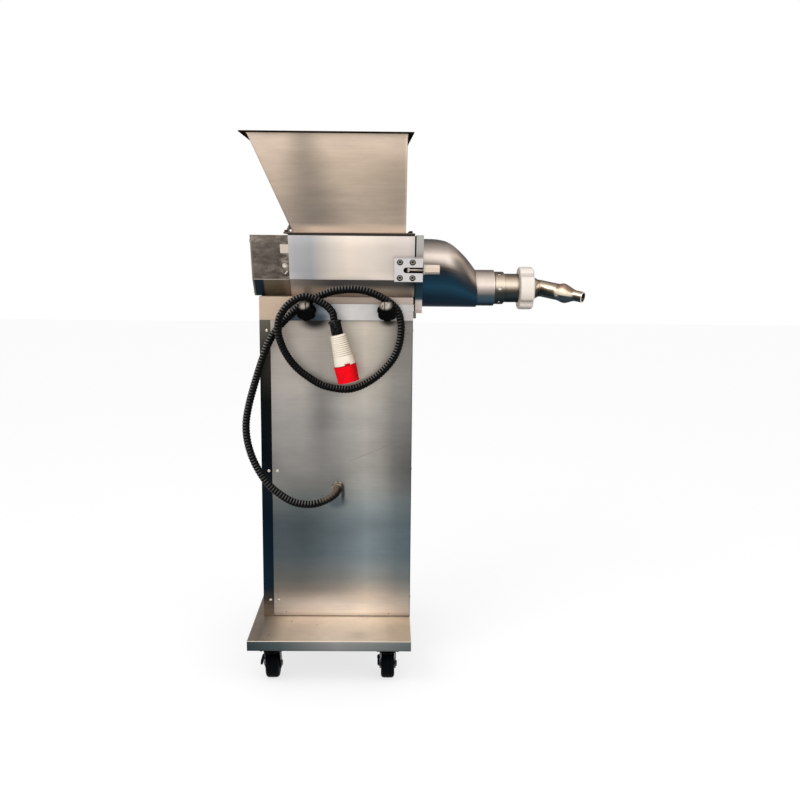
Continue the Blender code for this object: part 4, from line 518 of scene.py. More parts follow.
def cut_by(mesh, cutters):
    """The mesh with the cutters taken out of it."""
    tools = []

    def change(obj):
        for shape in cutters:
            tool = bpy.data.objects.new("cutter", mesh_of(shape, "cutter", mesh.materials))
            bpy.context.scene.collection.objects.link(tool)
            tools.append(tool)
            taken = obj.modifiers.new("cut", "BOOLEAN")
            taken.operation = "DIFFERENCE"
            taken.solver = "EXACT"
            taken.object = tool

    made = evaluated("being_cut", mesh, change)
    for tool in tools:
        bpy.data.objects.remove(tool)
    return made


def edged(mesh, width, segments):
    """The mesh with its edges rounded, and its flat faces still shaded flat."""

    def change(obj):
        if width:
            bevel = obj.modifiers.new("edges", "BEVEL")
            bevel.width = width
            bevel.segments = segments
            bevel.limit_method = "ANGLE"
            bevel.angle_limit = CREASE
        even = obj.modifiers.new("shading", "WEIGHTED_NORMAL")
        even.keep_sharp = True

    mesh.shade_smooth()
    mesh.set_sharp_from_angle(angle=BEVELLED_CREASE if width else CREASE)
    return evaluated("being_edged", mesh, change)


def shown(name, mesh, body, nodes=()):
    """Puts a finished mesh in the scene as a piece that rides on a body and stands for its CAD nodes."""
    mesh.name = name
    mesh.transform(Matrix.Translation(SHIFT))
    obj = bpy.data.objects.new(name, mesh)
    bpy.context.scene.collection.objects.link(obj)
    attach(obj, body)
    if nodes:
        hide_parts(*nodes)
    return obj


def made_up(parts, looks):
    """One mesh of several parts, each a shape with its edge width and its cutters."""
    whole = bmesh.new()
    for shape, edge, rounds, cutters in parts:
        mesh = mesh_of(shape, "part", looks)
        if cutters:
            mesh = cut_by(mesh, cutters)
        mesh = edged(mesh, edge, rounds)
        whole.from_mesh(mesh)
        bpy.data.meshes.remove(mesh)
    joined = bpy.data.meshes.new("whole")
    whole.to_mesh(joined)
    whole.free()
    for look in looks:
        joined.materials.append(look)
    return joined


def piece(name, shape, looks, body, nodes=(), edge=0.0, cutters=()):
    return shown(name, made_up([(shape, edge, 2, cutters)], looks), body, nodes)


def carried_over(*rows):
    """Pieces of the machine's body that keep their CAD shape, with rounded edges."""
    for name, node, look, slot, edge in rows:
        piece(name, Shape().copy_of(node), [look], "machine", [node], edge=edge)


# Geometry node groups


class Group(Nodes):
    """A geometry node group with named inputs, the first of them the geometry that it works on."""

    KINDS = {"size": "NodeSocketFloat", "count": "NodeSocketInt", "paint": "NodeSocketMaterial"}

    def __init__(self, name, **inputs):
        self.group = bpy.data.node_groups.new(name, "GeometryNodeTree")
        super().__init__(self.group)
        face = self.group.interface
        face.new_socket("Geometry", in_out="INPUT", socket_type="NodeSocketGeometry")
        for title, kind in inputs.items():
            face.new_socket(title, in_out="INPUT", socket_type=self.KINDS[kind])
        face.new_socket("Geometry", in_out="OUTPUT", socket_type="NodeSocketGeometry")
        self.given = self.group.nodes.new("NodeGroupInput")

    def input(self, title):
        return Sock(self, self.given.outputs[title])

    def swept(self, line, section, scale=1.0):
        """A section swept along a curve, closed at its ends."""
        ends = {"Curve": line, "Profile Curve": section, "Scale": scale, "Fill Caps": True}
        return self.add("GeometryNodeCurveToMesh", {}, ends)

    def give(self, geometry):
        whole = self.add("GeometryNodeRealizeInstances", {}, {0: geometry})
        painted = self.add("GeometryNodeSetMaterial", {}, {0: whole, "Material": self.input("paint")})
        self.add("NodeGroupOutput", {}, {0: painted})
        return self


def grown(group, mesh, **values):
    """The mesh that a node group makes of a mesh with these inputs."""

    def change(obj):
        modifier = obj.modifiers.new("growth", "NODES")
        modifier.node_group = group.group
        for item in group.group.interface.items_tree:
            if item.in_out == "INPUT" and item.name in values:
                modifier[item.identifier] = values[item.name]

    made = evaluated("being_grown", mesh, change)
    made.shade_smooth()
    made.set_sharp_from_angle(angle=CREASE)
    return made


def ribbed_hose_group():
    """A hose along the given edges, whose radius swings between crest and root once for each rib."""
    group = Group("ribbed_hose", ribs="count", crest="size", groove="size", sides="count", paint="paint")
    points_per_rib = 6
    count = group.input("ribs") * points_per_rib + 1
    line = group.add("GeometryNodeMeshToCurve", {}, {0: group.input("Geometry")})
    even = group.add("GeometryNodeResampleCurve", {}, {"Curve": line, "Count": count})
    turn = group.add("GeometryNodeInputIndex") * (2 * math.pi / points_per_rib)
    crest = 0.5 + 0.5 * turn.math("COSINE", turn)
    stored = {"Geometry": even, "Name": "crest", "Value": crest}
    marked = group.add("GeometryNodeStoreNamedAttribute", {"domain": "POINT"}, stored)
    radius = group.input("crest") - group.input("groove") * (1 - crest)
    unit = {"Resolution": group.input("sides"), "Radius": 1.0}
    ring = group.add("GeometryNodeCurvePrimitiveCircle", {}, unit)
    return group.give(group.swept(marked, ring, radius))


def fastener_group():
    """A two-stepped head on each given point, facing along the point's own direction."""
    sizes = dict.fromkeys(("radius", "height", "crown", "crown_radius"), "size")
    group = Group("fasteners", sides="count", **sizes, paint="paint")
    skirt, crown = (
        group.add("GeometryNodeMeshCone", {}, {
            "Vertices": group.input("sides"), "Radius Bottom": group.input("radius"),
            "Radius Top": group.input(top), "Depth": group.input(height),
        })
        for top, height in (("radius", "height"), ("crown_radius", "crown"))
    )
    lift = group.add("ShaderNodeCombineXYZ", {}, {"Z": group.input("height")})
    crown = group.add("GeometryNodeTransform", {}, {0: crown, "Translation": lift})
    head = group.add("GeometryNodeJoinGeometry", {}, {0: [skirt, crown]})
    facing = group.add("GeometryNodeInputNamedAttribute", {"data_type": "FLOAT_VECTOR"}, {"Name": "facing"})
    turn = group.add("FunctionNodeAlignRotationToVector", {"axis": "Z"}, {"Vector": facing})
    placed = {"Points": group.input("Geometry"), "Instance": head, "Rotation": turn}
    return group.give(group.add("GeometryNodeInstanceOnPoints", {}, placed))


def auger_flight_group():
    """A flight of one thickness wound about Z, with its section square to the axis's radius."""
    sizes = dict.fromkeys(("turns", "pitch", "core", "tip", "thickness"), "size")
    group = Group("auger_flight", **sizes, steps="count", paint="paint")
    core, tip, turns = (group.input(title) for title in ("core", "tip", "turns"))
    middle = (core + tip) / 2
    spiral = group.add("GeometryNodeCurveSpiral", {}, {
        "Resolution": group.input("steps"), "Rotations": turns, "Start Radius": middle, "End Radius": middle,
        "Height": turns * group.input("pitch"),
    })
    upright = group.add("GeometryNodeSetCurveNormal", {"mode": "Z_UP"}, {"Curve": spiral})
    flat = {"Width": tip - core, "Height": group.input("thickness")}
    section = group.add("GeometryNodeCurvePrimitiveQuadrilateral", {}, flat)
    return group.give(group.swept(upright, section))


FASTENERS = fastener_group()


def fasteners(name, places, look, slot, body="machine", **sizes):
    """One piece of equal screw heads, each at a place and facing a direction."""
    mesh = bpy.data.meshes.new(name)
    mesh.from_pydata([place for place, _ in places], [], [])
    facing = mesh.attributes.new("facing", "FLOAT_VECTOR", "POINT")
    for value, (_, direction) in zip(facing.data, places):
        value.vector = direction
    return shown(name, grown(FASTENERS, mesh, paint=look, **sizes), body)


# Finishes

LEVEL_STREAKS = (7.0, 7.0, 190.0)
FINE_STREAKS = 6
STEEL_TINT = (0.35, 0.37, 0.40, 1)


def brushed(name, colour_rule, roughness=0.36, metal=0.7, coarse=0.3, fine=0.2, stretch=LEVEL_STREAKS):
    """Steel sheet with long level streaks, coarse ones in its colour and fine ones in its relief."""
    look = Look(name)
    wide = look.noise(stretch, 3.0)
    thin = look.noise(tuple(FINE_STREAKS * value for value in stretch), 2.0)
    light = 1 + coarse * (wide - 0.5) + fine * (thin - 0.5)
    colour = look.scaled(colour_rule(look), light)
    rough = roughness + 0.25 * (wide - 0.5)
    return look.finish(
        colour, rough, relief=thin, depth=0.00003, Metallic=metal,
        Specular_IOR_Level=0.2, Specular_Tint=STEEL_TINT,
    )


def hopper_colour(look):
    """Painted reflection: pale at the mouth and the foot, a grey band down the middle; a dark line of painted
    shade by the right edge.
    """
    plain = look.levels(look.z, [
        (1.160, 226, 200, 178), (1.172, 206, 182, 162), (1.186, 172, 156, 140), (1.230, 172, 156, 140),
        (1.300, 186, 168, 149), (1.345, 194, 175, 155), (1.385, 212, 192, 172), (1.408, 216, 196, 176),
    ])
    pink = look.fade(look.x, 0.16, -0.01) * look.fade(look.z, 1.25, 1.36)
    warm = look.blend(pink * 0.4, plain, tone(216, 194, 180))
    # A grey band of painted reflection down the middle, widening towards the foot.
    centre = 0.118 + (1.395 - look.z) * 0.13
    half = 0.052 + (1.41 - look.z) * 0.36
    deep = look.fade(look.z, 1.42, 1.20) * 0.12 + 0.22
    painted_dark_patch = look.hump(look.x, centre, half)
    cloud = look.noise((7.0, 7.0, 26.0), 5.0, 0.6)
    right = look.hump(look.x, 0.365, 0.05) * 0.09
    front = look.scaled(warm, 1.05 - right + 0.46 * (cloud - 0.5))
    front = look.blend(painted_dark_patch * deep * 2.2, front, look.scaled(tone(116, 108, 100), 0.75 + 0.5 * cloud))
    # A dim patch of painted reflection on the right part.
    painted_dim_patch = look.fade(look.x, 0.24, 0.34) * look.hump(look.z, 1.280, 0.110) * 0.20
    front = look.scaled(front, 1.0 - painted_dim_patch)
    strip = look.fade(look.z, 1.186, 1.172) * look.fade(look.x, 0.085, 0.150)
    front = look.blend(strip, front, plain)
    # By the right edge: a thin painted highlight, then a dark line of painted shade.
    edge_x = 0.3788 + (look.z - 1.1576) * 0.01
    front = look.blend(look.fade(look.x, edge_x - 0.0022, edge_x - 0.0012) * 0.5, front, tone(214, 196, 178))
    front = look.blend(look.fade(look.x, edge_x - 0.0010, edge_x) * 0.85, front, tone(64, 58, 52))
    other = look.scaled(plain, 0.82 + 0.30 * cloud)
    side = look.blend(look.fade(look.ny, -0.5, -0.8), other, front)
    # On the flange, faces turned up are painted pale as lit and the rest dark as shade.
    flange = look.fade(look.z, 1.1640, 1.1612)
    flat = look.blend(look.fade(look.nz, 0.1, 0.6), tone(70, 58, 50), tone(190, 172, 154))
    side = look.blend(flange, side, flat)
    # On the rim, faces turned up are painted pale as lit and the others dark as shade.
    edge = look.blend(look.fade(look.nz, 0.15, 0.6), tone(44, 38, 32), tone(206, 200, 188))
    return look.blend(look.fade(look.z, 1.4060, 1.4066), side, edge)


def gusset_colour(look):
    # Painted light and shade: pale towards the gusset's left edge, dark as shade from its middle on.
    return look.levels(look.x, [
        (0.068, 168, 158, 148), (0.079, 120, 108, 98), (0.083, 40, 31, 25), (0.093, 52, 42, 34),
    ])


def panel_colour(look):
    """Painted reflection: blue-grey low down and warm above, brightest right of the middle; painted shadows
    by the knobs and the gland.
    """
    plain = look.levels(look.z, [
        (0.126, 178, 156, 136), (0.139, 214, 192, 171), (0.158, 206, 186, 167), (0.178, 182, 165, 148),
        (0.205, 144, 136, 128), (0.235, 118, 119, 116), (0.300, 96, 106, 110), (0.390, 94, 103, 106),
        (0.440, 110, 116, 116), (0.500, 137, 136, 132), (0.580, 144, 141, 137), (0.660, 154, 151, 147),
        (0.780, 176, 170, 162), (0.930, 182, 173, 162),
    ])
    # Painted reflection across the panel: low down, high up and at its foot.
    low = look.levels(look.x, [
        (0.028, 168, 168, 168), (0.060, 172, 172, 172), (0.110, 170, 172, 173), (0.160, 184, 186, 187),
        (0.205, 206, 207, 208), (0.280, 252, 252, 252), (0.320, 232, 232, 232), (0.360, 198, 202, 204),
        (0.400, 184, 192, 196),
    ])
    high = look.levels(look.x, [
        (0.028, 200, 199, 200), (0.060, 206, 205, 205), (0.110, 202, 201, 201), (0.160, 186, 186, 187),
        (0.205, 196, 196, 196), (0.275, 226, 225, 222), (0.310, 208, 207, 204), (0.350, 168, 168, 168),
        (0.400, 148, 151, 152),
    ])
    foot = look.levels(look.x, [
        (0.028, 178, 188, 198), (0.055, 188, 198, 208), (0.130, 206, 217, 230), (0.210, 222, 234, 250),
        (0.280, 230, 243, 255), (0.375, 192, 201, 212), (0.400, 178, 186, 196),
    ])
    low = look.blend(look.fade(look.z, 0.205, 0.160), low, foot)
    across = look.blend(look.fade(look.z, 0.43, 0.54), low, high)
    multiply = {"data_type": "RGBA", "blend_type": "MULTIPLY"}
    lit = look.add("ShaderNodeMix", multiply, {0: 1.0, 6: plain, 7: across}, out=2)
    # Dark patches of painted reflection, and painted dimming by the right edge.
    painted_dark_patch = look.hump(look.x, 0.164, 0.062) * look.hump(look.z, 0.69, 0.15) * 0.36
    shoulder = look.hump(look.x, 0.110, 0.075) * look.hump(look.z, 0.36, 0.13) * 0.22
    cloud = look.noise((8.0, 8.0, 20.0), 5.0, 0.55)
    right = look.fade(look.x, 0.32, 0.385) * look.hump(look.z, 0.53, 0.16)
    soft = look.scaled(lit, 1.80 - 1.6 * painted_dark_patch - 1.5 * shoulder - 0.45 * right + 0.70 * (cloud - 0.5))
    face = look.blend(look.fade(look.x, 0.3965, 0.3990) * 0.6, soft, tone(52, 58, 62))
    # Painted shadows: under the left and the right knob, and beside and below the gland.
    for x, z, half_x, half_z, share, shade in (
        (0.144, 0.936, 0.052, 0.032, 0.95, (10, 15, 19)), (0.336, 0.936, 0.030, 0.019, 0.90, (22, 18, 16)),
        (0.217, 0.472, 0.0075, 0.036, 0.85, (30, 34, 37)), (0.201, 0.450, 0.036, 0.026, 0.60, (62, 76, 86)),
    ):
        face = look.blend(look.oval(x, z, half_x, half_z) * share, face, tone(*shade))
    scratch = look.hump(look.z - 0.42 * look.x, 0.463, 0.0012) * look.fade(look.x, 0.22, 0.25)
    face = look.blend(scratch * look.fade(look.x, 0.37, 0.33) * 0.35, face, tone(74, 70, 66))
    # A dark line of painted shade along the panel's foot, with a pale blue-grey patch on it.
    foot = look.fade(look.z, 0.1295, 0.1262)
    pale_blue_patch = look.hump(look.x, 0.268, 0.026) * look.hump(look.z, 0.1288, 0.0022)
    face = look.blend(foot * 0.8, face, tone(74, 62, 52))
    return look.blend(pale_blue_patch, face, tone(176, 186, 190))


def strip_colour(look):
    # Painted reflection bands up the left cover, dark navy over most of its height.
    return look.levels(look.z, [
        (0.126, 150, 130, 112), (0.145, 130, 112, 98), (0.172, 70, 66, 62), (0.205, 22, 36, 46),
        (0.310, 9, 28, 40), (0.420, 9, 22, 31), (0.500, 20, 25, 32), (0.600, 10, 17, 24),
        (0.720, 15, 17, 18), (0.860, 58, 57, 52), (0.935, 102, 98, 86),
    ])


def tray_colour(look):
    # Painted light and reflection: the tray's top is brightest in the middle and darker towards its ends.
    top = look.levels(look.x, [
        (-0.022, 128, 116, 104), (0.006, 118, 106, 96), (0.034, 170, 152, 134), (0.068, 222, 200, 176),
        (0.140, 245, 222, 199), (0.184, 255, 234, 211), (0.290, 255, 233, 210), (0.350, 232, 210, 184),
        (0.400, 214, 190, 162),
    ])
    cloud = look.noise(10.0, 5.0, 0.55)
    # Dark patches of painted reflection in the middle and at the right front corner, and painted shade
    # growing towards the front.
    painted_dark_patch = look.hump(look.x, 0.262, 0.05) * look.hump(look.y, -0.13, 0.05) * 0.16
    corner = look.fade(look.x, 0.33, 0.345) * look.fade(look.y, -0.03, -0.06) * 0.08
    depth = look.fade(look.y, -0.02, -0.12) * 0.10
    top = look.scaled(top, 1.08 - depth + 0.26 * (cloud - 0.5) - painted_dark_patch - corner)
    # Painted reflection on the lip, lighter at its top and darker at its foot.
    lip = look.levels(look.x, [
        (-0.022, 52, 61, 64), (0.060, 74, 84, 85), (0.210, 138, 138, 136), (0.300, 124, 128, 125),
        (0.400, 96, 103, 104),
    ])
    rise = look.fade(look.z, 0.112, 0.122) * 0.18
    lip = look.scaled(lip, 1.0 + rise - look.fade(look.z, 0.106, 0.099) * 0.25)
    # A painted highlight where the edge rounds over towards the front.
    side = look.fade(look.nz, 0.45, 0.15)
    bright = look.hump(look.nz, 0.6, 0.38) * look.fade(look.ny, -0.2, -0.4)
    return look.blend(bright, look.blend(side, top, lip), tone(246, 228, 208))


def plate_colour(look):
    # Painted reflection across the plate, lighter near its top and its foot.
    across = look.levels(look.x, [
        (0.079, 188, 184, 183), (0.095, 178, 176, 178), (0.135, 170, 170, 172), (0.165, 196, 189, 182),
        (0.190, 216, 205, 193), (0.235, 238, 223, 209), (0.290, 230, 217, 205), (0.340, 218, 206, 196),
        (0.385, 216, 204, 197), (0.403, 200, 192, 187),
    ])
    cloud = look.noise((12.0, 12.0, 30.0), 3.0)
    lift = look.fade(look.z, 1.118, 1.150) * 0.20 + look.fade(look.z, 1.068, 1.046) * 0.24
    across = look.scaled(across, 1.04 + 0.10 * (cloud - 0.5) + lift)
    # Ends and edges that don't face the front are painted pale where they turn up and dark where they turn
    # down, as light and shade.
    rim = look.fade(abs(look.ny), 0.93, 0.84)
    pale = look.blend(look.fade(look.nz, -0.2, 0.2), tone(120, 112, 106), tone(240, 232, 224))
    tab = look.fade(look.x, 0.0795, 0.0785)
    return look.blend(rim, look.blend(tab, across, tone(214, 202, 187)), pale)


def housing_colour(look):
    """Mottled rough steel with pale patches of wear towards the plate; a navy painted shadow at the left
    under the fold; painted highlights along the fold and the left edge.
    """
    mottle = look.noise((60.0, 60.0, 110.0), 5.0, 0.65)
    blotch = look.noise((22.0, 22.0, 34.0), 3.0)
    face = look.levels(mottle * 0.6 + blotch * 0.4, [
        (0.33, 74, 66, 58), (0.47, 97, 89, 81), (0.56, 112, 103, 95), (0.70, 150, 139, 128),
    ])
    face = look.scaled(face, 1.06 + look.fade(look.z, 1.105, 1.150) * 0.22)
    wear_and_sheen = look.fade(look.x, 0.045, 0.076) * look.fade(mottle, 0.44, 0.58) * 0.75
    face = look.blend(wear_and_sheen, face, tone(168, 156, 144))
    shadow = look.fade(look.x, 0.014, 0.008)
    under = look.blend(shadow, look.scaled(tone(104, 94, 78), 0.72 + 0.5 * mottle), tone(30, 40, 50))
    under = look.blend(look.fade(look.x, 0.055, 0.075) * 0.5, under, tone(150, 135, 118))
    low = look.fade(look.z, 1.0415, 1.0405)
    line = look.hump(look.z, 1.0412, 0.0016) * look.fade(look.ny, 0.2, -0.2)
    left = look.fade(look.x, -0.0125, -0.0145) * 0.5
    edge = look.blend(line, look.blend(low, face, under), tone(196, 188, 176))
    return look.blend(left, edge, tone(176, 168, 156))


def neck_colour(look):
    """The trough's underside: light at its fold, in painted shadow just under the plate, lighter further
    down.
    """
    light = look.levels(look.x, [
        (0.0790, 90, 80, 72), (0.0805, 206, 194, 184), (0.095, 216, 200, 186), (0.110, 204, 188, 172),
        (0.116, 160, 148, 136), (0.128, 166, 154, 142), (0.140, 206, 190, 174), (0.220, 212, 196, 180),
        (0.330, 206, 190, 174), (0.370, 180, 166, 154), (0.403, 156, 146, 138),
    ])
    dark = look.levels(look.x, [
        (0.0790, 60, 54, 48), (0.0805, 164, 154, 146), (0.110, 152, 144, 138), (0.150, 124, 118, 112),
        (0.190, 94, 90, 90), (0.270, 92, 90, 88), (0.340, 102, 98, 92), (0.370, 88, 90, 90),
        (0.386, 66, 68, 70), (0.403, 30, 38, 44),
    ])
    cloud = look.noise((20.0, 20.0, 50.0), 4.0, 0.6)
    under = look.blend(look.fade(look.z, 1.008, 1.030), light, dark)
    under = look.scaled(under, 0.86 + 0.28 * cloud)
    above = look.levels(look.x, [(0.079, 178, 174, 170), (0.403, 196, 188, 180)])
    return look.blend(look.fade(look.z, 1.040, 1.042), under, above)


def band_colour(look):
    across = look.levels(look.x, [
        (0.0, 200, 178, 156), (0.080, 204, 181, 160), (0.130, 186, 168, 150), (0.210, 168, 152, 138),
        (0.330, 186, 170, 158), (0.400, 184, 170, 160),
    ])
    cloud = look.noise((18.0, 18.0, 40.0), 3.0)
    return look.scaled(across, 0.93 + 0.14 * cloud)


def hook_strip_colour(look):
    # Painted reflection across the strip, darker blue-grey by the knobs.
    across = look.levels(look.x, [
        (0.079, 120, 122, 122), (0.130, 96, 106, 112), (0.165, 120, 130, 136), (0.195, 186, 184, 182),
        (0.235, 212, 209, 205), (0.290, 202, 200, 197), (0.310, 188, 186, 184), (0.345, 150, 148, 146),
        (0.375, 198, 193, 190), (0.400, 192, 186, 183),
    ])
    # A navy painted shadow low on the strip below the left knob.
    low = look.fade(look.x, 0.19, 0.16) * look.fade(look.z, 0.962, 0.945)
    across = look.blend(low * 0.8, across, tone(44, 62, 74))
    foot = look.fade(look.z, 0.9395, 0.9370)
    across = look.blend(foot * 0.6, across, tone(70, 70, 66))
    blotch = look.noise((40.0, 40.0, 70.0), 5.0, 0.6)
    return look.scaled(across, 0.92 + 0.20 * blotch)


def cover_colour(look):
    # Painted reflection bands up the cover: warm at its foot, blue-grey low down, paler above.
    plain = look.levels(look.z, [
        (0.126, 190, 170, 148), (0.170, 150, 140, 128), (0.260, 112, 118, 120), (0.400, 118, 124, 126),
        (0.600, 150, 148, 144), (0.930, 172, 165, 156),
    ])
    cloud = look.noise((8.0, 8.0, 16.0), 4.0)
    return look.scaled(plain, 0.86 + 0.3 * cloud)


def end_plate_colour(look):
    # Painted reflection down the plate: pale at its foot, a navy band above it, grey higher up.
    down = look.levels(look.z, [
        (0.953, 206, 188, 180), (0.970, 206, 192, 184), (0.984, 206, 194, 186), (0.9885, 160, 158, 156),
        (0.991, 46, 70, 82), (1.010, 38, 62, 74), (1.030, 26, 44, 58), (1.042, 26, 44, 58),
        (1.050, 120, 122, 122), (1.062, 158, 156, 154), (1.090, 172, 168, 164), (1.140, 182, 178, 172),
        (1.152, 180, 182, 168), (1.157, 176, 176, 164),
    ])
    cloud = look.noise((30.0, 30.0, 60.0), 3.0)
    joint = look.fade(look.x, 0.4066, 0.4058) * 0.75
    return look.blend(joint, look.scaled(down, 0.94 + 0.14 * cloud), tone(70, 64, 62))


def dome_colour(look):
    """Painted reflection: light and dark bands round the straight part, closer together down the shoulder and
    by the collar.
    """
    bands = look.levels(look.nz, [
        (-1.0, 20, 38, 50), (-0.66, 21, 41, 54), (-0.35, 30, 64, 83), (-0.19, 24, 52, 70),
        (-0.04, 28, 46, 58), (0.10, 36, 40, 44), (0.20, 72, 64, 60), (0.30, 150, 139, 130),
        (0.37, 204, 191, 180), (0.45, 240, 226, 214), (0.54, 244, 230, 218), (0.64, 206, 192, 180),
        (0.74, 168, 156, 147), (0.86, 136, 126, 118), (0.95, 104, 99, 95), (1.0, 74, 74, 72),
    ])
    shoulder = look.levels(look.nz, [
        (-1.0, 12, 18, 24), (-0.70, 30, 42, 50), (-0.20, 36, 46, 54), (0.0, 46, 50, 54), (0.18, 62, 60, 60),
        (0.35, 102, 94, 88), (0.47, 138, 126, 116), (0.58, 210, 188, 168), (0.67, 166, 150, 137),
        (0.75, 150, 140, 131), (0.90, 132, 124, 117),
    ])
    by_collar = look.levels(look.nz, [
        (-1.0, 12, 18, 24), (-0.60, 52, 66, 74), (-0.38, 46, 56, 62), (-0.18, 60, 62, 64),
        (0.0, 94, 88, 84), (0.16, 148, 134, 124), (0.30, 176, 158, 142), (0.41, 154, 138, 126),
        (0.50, 136, 122, 112), (0.61, 106, 96, 89),
    ])
    shoulder = look.blend(look.fade(look.nx, 0.56, 0.72), shoulder, by_collar)
    haze = look.noise(60.0, 3.0)
    bend = look.fade(look.nx, 0.26, 0.60)
    return look.scaled(look.blend(bend, bands, shoulder), 0.94 + 0.12 * haze)


def collar_colour(look):
    # Painted reflection bands round the collar, navy underneath.
    bands = look.levels(look.nz, [
        (-1.0, 10, 17, 22), (-0.92, 14, 24, 30), (-0.70, 50, 73, 90), (-0.50, 62, 80, 90),
        (-0.38, 79, 85, 87), (-0.09, 168, 156, 150), (0.20, 243, 226, 215), (0.50, 222, 206, 194),
        (0.80, 166, 152, 142), (1.0, 104, 94, 88),
    ])
    return look.scaled(bands, 0.97 + 0.1 * look.noise(40.0))


def pipe_colour(look):
    # Painted reflection bands round the pipe and the ring.
    bands = look.levels(look.nz, [
        (-1.0, 10, 15, 17), (-0.84, 16, 24, 27), (-0.47, 44, 53, 57), (-0.26, 56, 54, 50),
        (-0.10, 99, 90, 81), (0.04, 178, 162, 144), (0.20, 250, 233, 212), (0.36, 248, 232, 212),
        (0.52, 216, 198, 178), (0.64, 184, 164, 146), (0.80, 124, 110, 97), (1.0, 76, 68, 60),
    ])
    left = look.hump(look.x, 0.6215, 0.004) * 0.7
    # A painted shadow on the pipe by the union nut.
    near_nut = look.hump(look.x, 0.689, 0.010) * 0.55
    stain = look.noise((120.0, 60.0, 60.0), 4.0, 0.6)
    bands = look.blend(left, bands, tone(60, 52, 46))
    bands = look.blend(near_nut, bands, tone(70, 62, 54))
    return look.scaled(bands, 0.90 + 0.22 * stain)


def nozzle_colour(look):
    """Painted reflection bands round the bent tube, brown and dark on its two ears, and a pale line behind
    its mouth.
    """
    along_it = look.along(BEND, NOZZLE_AXIS)
    rise = look.nz * 0.98 + look.nx * 0.2
    bands = look.levels(rise, [
        (-1.0, 34, 46, 50), (-0.80, 58, 66, 68), (-0.50, 36, 46, 48), (-0.24, 52, 50, 48),
        (-0.05, 92, 83, 71), (0.14, 170, 152, 132), (0.31, 250, 234, 208), (0.48, 230, 213, 190),
        (0.66, 164, 147, 128), (0.84, 130, 114, 100), (1.0, 96, 84, 74),
    ])
    ears = look.levels(rise, [
        (-1.0, 44, 56, 62), (-0.55, 62, 76, 84), (-0.36, 86, 90, 88), (-0.18, 176, 166, 148),
        (0.02, 226, 214, 192), (0.20, 214, 196, 170), (0.34, 140, 116, 102), (0.60, 128, 104, 94),
        (1.0, 84, 66, 58),
    ])
    at_ears = look.fade(along_it, 0.046, 0.054) * look.fade(along_it, 0.104, 0.096)
    bands = look.blend(at_ears, bands, ears)
    # A painted highlight low on the flare of the ears.
    flare = look.hump(along_it, 0.057, 0.007) * look.hump(rise, -0.50, 0.22)
    bands = look.blend(flare, bands, tone(200, 182, 164))
    seam = look.hump(along_it, 0.045, 0.0022) * look.fade(rise, -0.5, 0.1)
    bands = look.blend(seam * 0.55, bands, tone(132, 104, 60))
    # Painted reflection bands round the neck before the bend.
    neck = look.levels(rise, [
        (-1.0, 60, 54, 50), (-0.75, 110, 92, 80), (-0.4, 84, 70, 62), (-0.05, 92, 78, 68),
        (0.30, 176, 158, 138), (0.55, 176, 158, 138), (0.8, 120, 102, 90), (1.0, 84, 70, 62),
    ])
    before = look.fade(along_it, 0.0002, -0.0008)
    at_bend = look.hump(along_it, 0.0, 0.0020) * 0.7
    stain = look.noise(70.0, 4.0, 0.6)
    whole = look.blend(at_bend, look.blend(before, bands, neck), tone(58, 48, 42))
    mouth = look.fade(along_it, 0.1236, 0.1242)
    whole = look.blend(mouth, whole, tone(236, 228, 214))
    return look.scaled(whole, 0.90 + 0.22 * stain)


def even_steel(*colour, spread=0.16):
    """A colour rule of one steel tone with soft clouds."""

    def rule(look):
        cloud = look.noise((26.0, 26.0, 40.0), 4.0)
        return look.scaled(tone(*colour), 1 - spread / 2 + spread * cloud)

    return rule


def moulded(name, colour, shade, roughness, grain=900.0, shine=0.2):
    """Plastic or paint: a colour with faint clouds towards a shade of it, and a fine moulded skin."""
    look = Look(name)
    cloud = look.noise(14.0, 4.0)
    skin = look.noise(grain, 2.0)
    mixed = look.blend(look.fade(cloud, 0.3, 0.7) * 0.5, tone(*colour), tone(*shade))
    rough = roughness + 0.15 * (skin - 0.5)
    return look.finish(mixed, rough, relief=skin, depth=0.00003, Specular_IOR_Level=shine)


def knob_finish():
    """Black, with a pale painted highlight over the upper part of each head, split by a dark valley."""
    look = Look("knob_plastic")
    colour = tone(3, 3, 4)
    patch = look.noise((160.0, 160.0, 90.0), 3.0)
    for middle, half, valley in ((0.1190, 0.0190, 0.1256), (0.3285, 0.0200, 0.3262)):
        bright = look.oval(middle, 0.9805, half, 0.0150, 0.35) * look.fade(look.ny, 0.6, 0.1)
        split = look.fade(abs(look.x - valley), 0.0004, 0.0030) * 0.85 + 0.15
        colour = look.blend(bright * split * look.fade(patch, 0.15, 0.55), colour, tone(190, 181, 168))
    skin = look.noise(500.0)
    return look.finish(colour, 0.30 + 0.1 * skin, relief=skin, depth=0.00002, Specular_IOR_Level=0.03)


